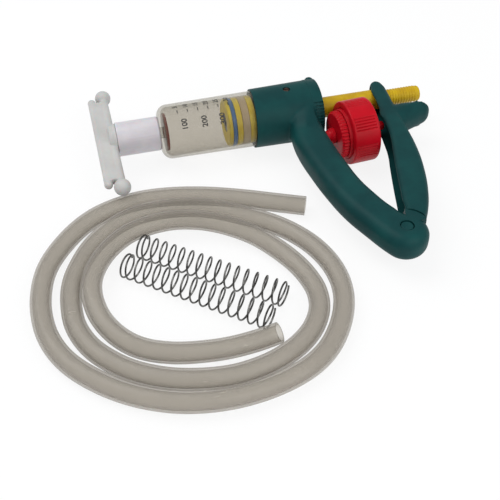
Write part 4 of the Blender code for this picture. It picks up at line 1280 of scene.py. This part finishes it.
@dataclass
class SqueezeLever(Assembly):
    """The lever: a channel that opens towards the barrel, a hood for the hose tail, a horn and a tongue."""

    half: float = 9.3
    rounding: float = 3.4
    back: float = 43.6
    channel_half: float = 7.1
    horn_half: float = 9.2
    horn_round: float = 8.0
    pivot: Pair = (10.3, -124.3)
    tongue: float = 8.9
    tongue_half: float = 4.5
    eye_room: float = 13.4
    pin: float = 2.9
    play: float = 0.3
    tail: float = 5.45
    tail_half: float = 8.0
    tail_shifts: Triple = (-1.7, -0.6, 0.5)
    pocket_half: float = 2.4
    pocket: float = 6.1

    FRONT_SIDE: ClassVar[list[Pair]] = [
        (35.0, 2.6), (33.9, -10.0), (32.9, -20.0), (31.2, -36.0), (29.5, -48.0), (25.8, -62.0), (21.2, -80.0),
        (17.4, -96.0), (15.7, -103.0), (14.8, -109.0)]
    BACK_SIDE: ClassVar[list[Pair]] = [
        (22.9, -121.6), (24.3, -119.0), (27.4, -113.6), (32.9, -101.0), (39.6, -77.0), (42.4, -58.0),
        (43.2, -42.0), (43.6, -28.0), (44.1, -14.0), (44.7, -3.0), (44.5, 3.6)]
    TOP: ClassVar[list[Pair]] = [(42.2, 8.5), (38.2, 8.9)]
    HORN: ClassVar[list[Pair]] = [
        (33.4, -15.6), (44.0, -14.6), (51.0, -14.5), (57.4, -15.2), (63.0, -17.4), (66.8, -20.8),
        (65.6, -23.8), (59.4, -27.0), (50.5, -30.6), (43.0, -33.6), (32.0, -34.4)]
    HOLLOW: ClassVar[list[Pair]] = [
        (18.0, 6.6), (18.0, -60.0), (6.0, -108.5), (25.5, -110.5), (36.4, -76.0), (39.3, -58.0),
        (40.1, -42.0), (40.6, -28.0), (40.6, 6.6)]
    ARM_WAYS: ClassVar[list[list[Pair]]] = [
        [(-2.0, 0.0), (9.0, 0.0), (13.0, 30.0), (2.0, 30.0)],
        [(0.0, -7.0), (0.0, 7.0), (-16.0, 12.0), (-16.0, -2.0)]]

    def build(self) -> None:
        """Melt lever and horn together, then hollow the channel and free the tongue."""
        x, y = self.pivot
        tip = ring_points(self.tongue, 12, self.pivot, 80.0, 368.0)
        outline = self.FRONT_SIDE + tip + self.BACK_SIDE + self.TOP
        blank = Maker.slab("lever", outline, self.half, self.rounding)
        horn = Maker.slab("horn", self.HORN, self.horn_half, self.horn_round, fine=8)
        lever = Maker.melted("lever_moulding", [blank, horn], voxel=0.6, passes=7)
        away = [Maker.plate("hollow", self.HOLLOW, self.channel_half)]
        for side in (-1.0, 1.0):
            away.append(Maker.rod(self.eye_room, (x, y, side * self.tongue_half),
                                  (x, y, side * (self.half + 1.0)), 96))
        for shift in self.tail_shifts:
            away.append(Maker.rod(self.tail, (self.back - self.tail_half, shift, 0.0),
                                  (self.back + self.tail_half, shift, 0.0), 64))
        for radius, half in ((self.pin + self.play, self.half), (self.pocket, self.pocket_half)):
            away.append(Maker.rod(radius, (x, y, -half), (x, y, half)))
        for corners in self.ARM_WAYS:
            away.append(Maker.plate("way", [(x + a, y + b) for a, b in corners], self.pocket_half))
        dress(Maker.cut(lever, away), self.finishes.green, Body.LEVER, ["lever"])


@dataclass
class DoseWheel(Assembly):
    """The red dose wheel with its toothed hub, the stud that it turns on and the stop pin."""

    x: float = 15.3
    y: float = -28.2
    tilt: float = 4.0
    radius: float = 20.0
    right: float = 8.1
    left: float = -10.4
    lip: float = 1.0
    panels: int = 7
    grooves: int = 5
    groove_step: float = 5.4
    groove_width: float = 1.5
    groove_depth: float = 0.6
    first_panel: float = 130.4
    hub: float = 14.9
    hub_length: float = 4.3
    teeth: int = 42
    tooth_depth: float = 0.6
    stud: float = 5.0
    stud_tip: float = -24.75
    stud_round: float = 3.4
    neck: float = 3.6
    play: float = 0.3
    pin: float = 2.8
    pin_tip: float = 18.6
    pin_round: float = 1.5

    def axle(self) -> tuple[Vector, Vector]:
        """Give the wheel's middle and the way its axis points."""
        turn = math.radians(self.tilt)
        return LAYOUT.at(self.x, self.y, 0.0), Vector((math.cos(turn), math.sin(turn), 0.0))

    def build(self) -> None:
        """Make the wheel, hub, stud and pin."""
        origin, ahead = self.axle()
        right = self.right
        shelf = self.radius - self.lip
        bore = self.neck + self.play
        rim = [(right, self.pin + 0.4), (right, self.hub - 1.4), (right - 0.8, self.hub - 0.4),
               (right - 0.8, shelf - 1.4), (right, shelf - 0.7)]
        rim += arc(right - self.lip, shelf, self.lip, 0.0, 90.0, 6)
        flat = len(rim)
        inner = right - self.lip - 0.9
        far = self.left + self.lip + 2.0
        rim += [(place, self.radius) for place in (inner, inner - 0.3, far + 0.3, far)]
        rim += arc(self.left + 1.6 + self.lip, shelf, self.lip, 90.0, 180.0, 5)
        rim += [(self.left + 1.6, self.hub + 1.6), (self.left + 2.2, self.hub + 0.9),
                (self.left, self.hub + 0.4), (self.left, bore), (0.0, bore), (0.0, self.pin + 0.4)]
        reach = (self.grooves - 1) / 2.0

        def grip(angle: float, index: int) -> float:
            """Cut the short grooves of each panel into the rim's middle."""
            if index not in (flat + 1, flat + 2):
                return 0.0
            turn = math.degrees(angle) - self.first_panel
            pitch = 360.0 / self.panels
            near = (turn + pitch / 2.0) % pitch - pitch / 2.0
            groove = min(abs(near - (k - reach) * self.groove_step) for k in range(self.grooves))
            return self.groove_depth * max(0.0, 1.0 - groove / self.groove_width)

        def cog(angle: float, index: int) -> float:
            """Cut the hub's fine teeth."""
            if index not in (1, 2):
                return 0.0
            wave = abs(math.sin(self.teeth * angle / 2.0))
            return self.tooth_depth * min(1.0, max(0.0, 1.6 * wave - 0.5))

        wheel = Maker.lathe("wheel_rim", rim, origin, ahead, 1008, grip, ring=True)
        dress(wheel, self.finishes.red, Body.ADJUSTER, ["dose_wheel"])
        start = self.left - self.play
        end = start - self.hub_length
        hub = [(start, bore), (start, self.hub), (end + 1.2, self.hub), (end, self.hub - 1.4), (end, bore)]
        dress(Maker.lathe("wheel_hub", hub, origin, ahead, 400, cog, ring=True), self.finishes.red,
              Body.ADJUSTER, ["dose_hub"])
        self.axis_pieces(end)

    def axis_pieces(self, face: float) -> None:
        """Make the fixed stud and the stop pin, from where the hub's outer face lies along the axis."""
        origin, ahead = self.axle()
        stud = [(-0.3, self.neck), (face - 0.3, self.neck), (face - 0.3, self.stud), (face - 2.3, self.stud),
                (face - 3.0, self.stud - 0.7), (face - 3.6, self.stud - 1.2)]
        stud += arc(self.stud_tip + self.stud_round, 0.2, self.stud_round, 84.0, 176.0, 8)
        tip = self.pin_tip
        thin = self.pin - 1.0
        pin = arc(tip - self.pin_round, self.pin - self.pin_round, self.pin_round, 5.0, 90.0, 6)
        pin += [(tip - 3.6, self.pin), (tip - 4.4, self.pin - 0.4), (tip - 4.8, thin),
                (self.right + 0.9, thin), (self.right + 0.3, self.pin), (5.0, self.pin)]
        for name, profile, body, node in (("wheel_stud", stud, Body.FRAME, "dose_stud"),
                                          ("wheel_stop", pin, Body.STOP, "stop_pin")):
            dress(Maker.lathe(name, profile, origin, ahead, 64), self.finishes.red, body, [node])


@dataclass
class HiddenValves(Assembly):
    """The inner pieces that keep their CAD shapes: both valves, their springs and the lever's spring."""

    nodes: dict[str, bpy.types.Object]
    nylon: tuple[str, ...] = ("outlet_valve", "inlet_valve")
    steel: tuple[str, ...] = ("outlet_spring", "inlet_spring", "valve_retainer", "return_spring")

    def build(self) -> None:
        """Give the inner pieces their finishes."""
        for names, finish in ((self.nylon, self.finishes.nylon), (self.steel, self.finishes.steel)):
            for name in names:
                materials = self.nodes[name].data.materials
                materials.clear()
                materials.append(finish)
                LOG.info("%s keeps its CAD shape", name)


class Studio:
    """Floor, lights and background."""

    def build(self) -> None:
        """Make the floor, the lamps and the world."""
        work = bmesh.new()
        bmesh.ops.create_grid(work, x_segments=2, y_segments=2, size=6.0)
        floor = Maker.from_bmesh("studio_floor", work)
        floor.data.materials.append(Backdrop("floor_paper", (250.0, 250.0, 250.0), 0.86).make())
        self.lamp("key_lamp", (-0.55, 0.35, 1.1), 0.9, 7.6)
        self.lamp("fill_lamp", (0.4, -0.9, 0.8), 0.9, 5.8)
        world = bpy.data.worlds.new("studio")
        bpy.context.scene.world = world
        world.use_nodes = True
        tree = world.node_tree
        tree.nodes.clear()
        output = tree.nodes.new("ShaderNodeOutputWorld")
        mix = tree.nodes.new("ShaderNodeMixShader")
        path = tree.nodes.new("ShaderNodeLightPath")
        tree.links.new(path.outputs["Is Camera Ray"], mix.inputs[0])
        for index, colour, strength in ((1, (0.95, 0.97, 1.0, 1.0), 0.55), (2, (1.0, 1.0, 1.0, 1.0), 1.0)):
            light = tree.nodes.new("ShaderNodeBackground")
            light.inputs["Color"].default_value = colour
            light.inputs["Strength"].default_value = strength
            tree.links.new(light.outputs[0], mix.inputs[index])
        tree.links.new(mix.outputs[0], output.inputs["Surface"])
        bpy.context.scene.view_settings.view_transform = "Standard"
        LOG.info("studio ready")

    @staticmethod
    def lamp(name: str, place: Triple, size: float, power: float) -> None:
        """Hang one soft lamp that looks at the object, by its width in metres and power in watts."""
        data = bpy.data.lights.new(name, "AREA")
        data.size = size
        data.energy = power
        lamp = Maker.link(name, data)
        lamp.location = place
        lamp.rotation_euler = (-Vector(place)).to_track_quat("-Z", "Y").to_euler()


HOSE_ROUTE: list[Triple] = [
    (-31, -72.5, 6.2), (-48, -65, 6.2), (-66, -57, 6.2), (-86, -49.6, 6.2), (-105, -45, 6.2),
    (-123, -43.4, 6.2), (-138, -45.5, 6.2), (-153, -51, 6.2), (-166, -60.5, 6.2), (-178, -74.5, 6.2),
    (-186, -89, 6.2), (-190, -106, 6.2), (-190.5, -122, 6.2), (-188, -137, 6.2), (-182, -151, 6.2),
    (-173, -163, 6.2), (-160, -175, 6.2), (-145, -184.5, 6.2), (-127, -191.5, 6.2), (-106, -194.5, 6.2),
    (-85, -193, 6.2), (-66, -187.5, 6.2), (-51.5, -178.5, 6.2), (-40.5, -165.5, 6.2), (-33, -150.5, 6.2),
    (-30, -136, 6.2), (-31, -121, 6.2), (-36, -106, 6.2), (-44.5, -92.5, 6.2), (-55.5, -81.5, 6.5),
    (-69.5, -72.5, 7.5), (-85.5, -63.5, 8.2), (-101, -58.5, 8.5), (-118, -56.8, 8.5), (-133, -58.5, 8.0),
    (-147, -65, 7.2), (-158.5, -75, 6.3), (-167, -88, 6.2), (-172.5, -101, 6.2), (-174.7, -115, 6.2),
    (-174, -131, 6.2), (-168.5, -146, 6.2), (-159.5, -158, 6.2), (-148, -168, 6.2), (-133, -175.8, 6.2),
    (-117, -180.3, 6.2), (-101, -182, 6.2), (-86, -180.3, 6.2), (-74, -176.5, 6.2), (-63, -170.5, 6.2),
    (-54, -162.5, 6.2), (-47.4, -152, 6.2), (-44.8, -141, 6.2), (-45.6, -130, 6.2), (-49.5, -117, 6.2),
    (-57, -103, 6.5), (-67, -91, 8.0), (-79.5, -81.5, 9.5), (-93, -74.5, 10.5), (-108, -70.5, 11.0),
    (-122, -70.5, 11.0), (-136, -74, 10.8), (-147.5, -82, 10.8), (-156, -92.5, 11.0), (-161.3, -104, 11.3),
    (-163, -116, 11.3), (-161.5, -129, 10.8), (-157, -140, 9.5), (-149.7, -149.5, 8.2), (-140.5, -156, 7.0),
    (-128.5, -160.5, 6.2), (-116, -163.2, 6.2), (-101, -164.6, 6.2), (-86, -163.8, 6.2), (-72, -161.5, 6.2),
]


def main() -> None:
    """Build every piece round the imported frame."""
    logging.basicConfig(level=logging.INFO, format="%(name)s: %(message)s")
    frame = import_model()
    Camera().build()
    finishes = Finishes()
    for assembly in (
            FeedHose(finishes),
            GuardSpring(finishes, "guard_spring_a", "hose_spring_a", (-131.2, -82.9), (-62.8, -137.6)),
            GuardSpring(finishes, "guard_spring_b", "hose_spring_b", (-142.2, -95.4), (-74.3, -151.2)),
            Barrel(finishes), Nose(finishes), Plunger(finishes), Handle(finishes), SqueezeLever(finishes),
            DoseWheel(finishes), HiddenValves(finishes, frame["nodes"])):
        LOG.info("building %s", type(assembly).__name__)
        assembly.build()
    Studio().build()


if __name__ == "__main__":
    main()
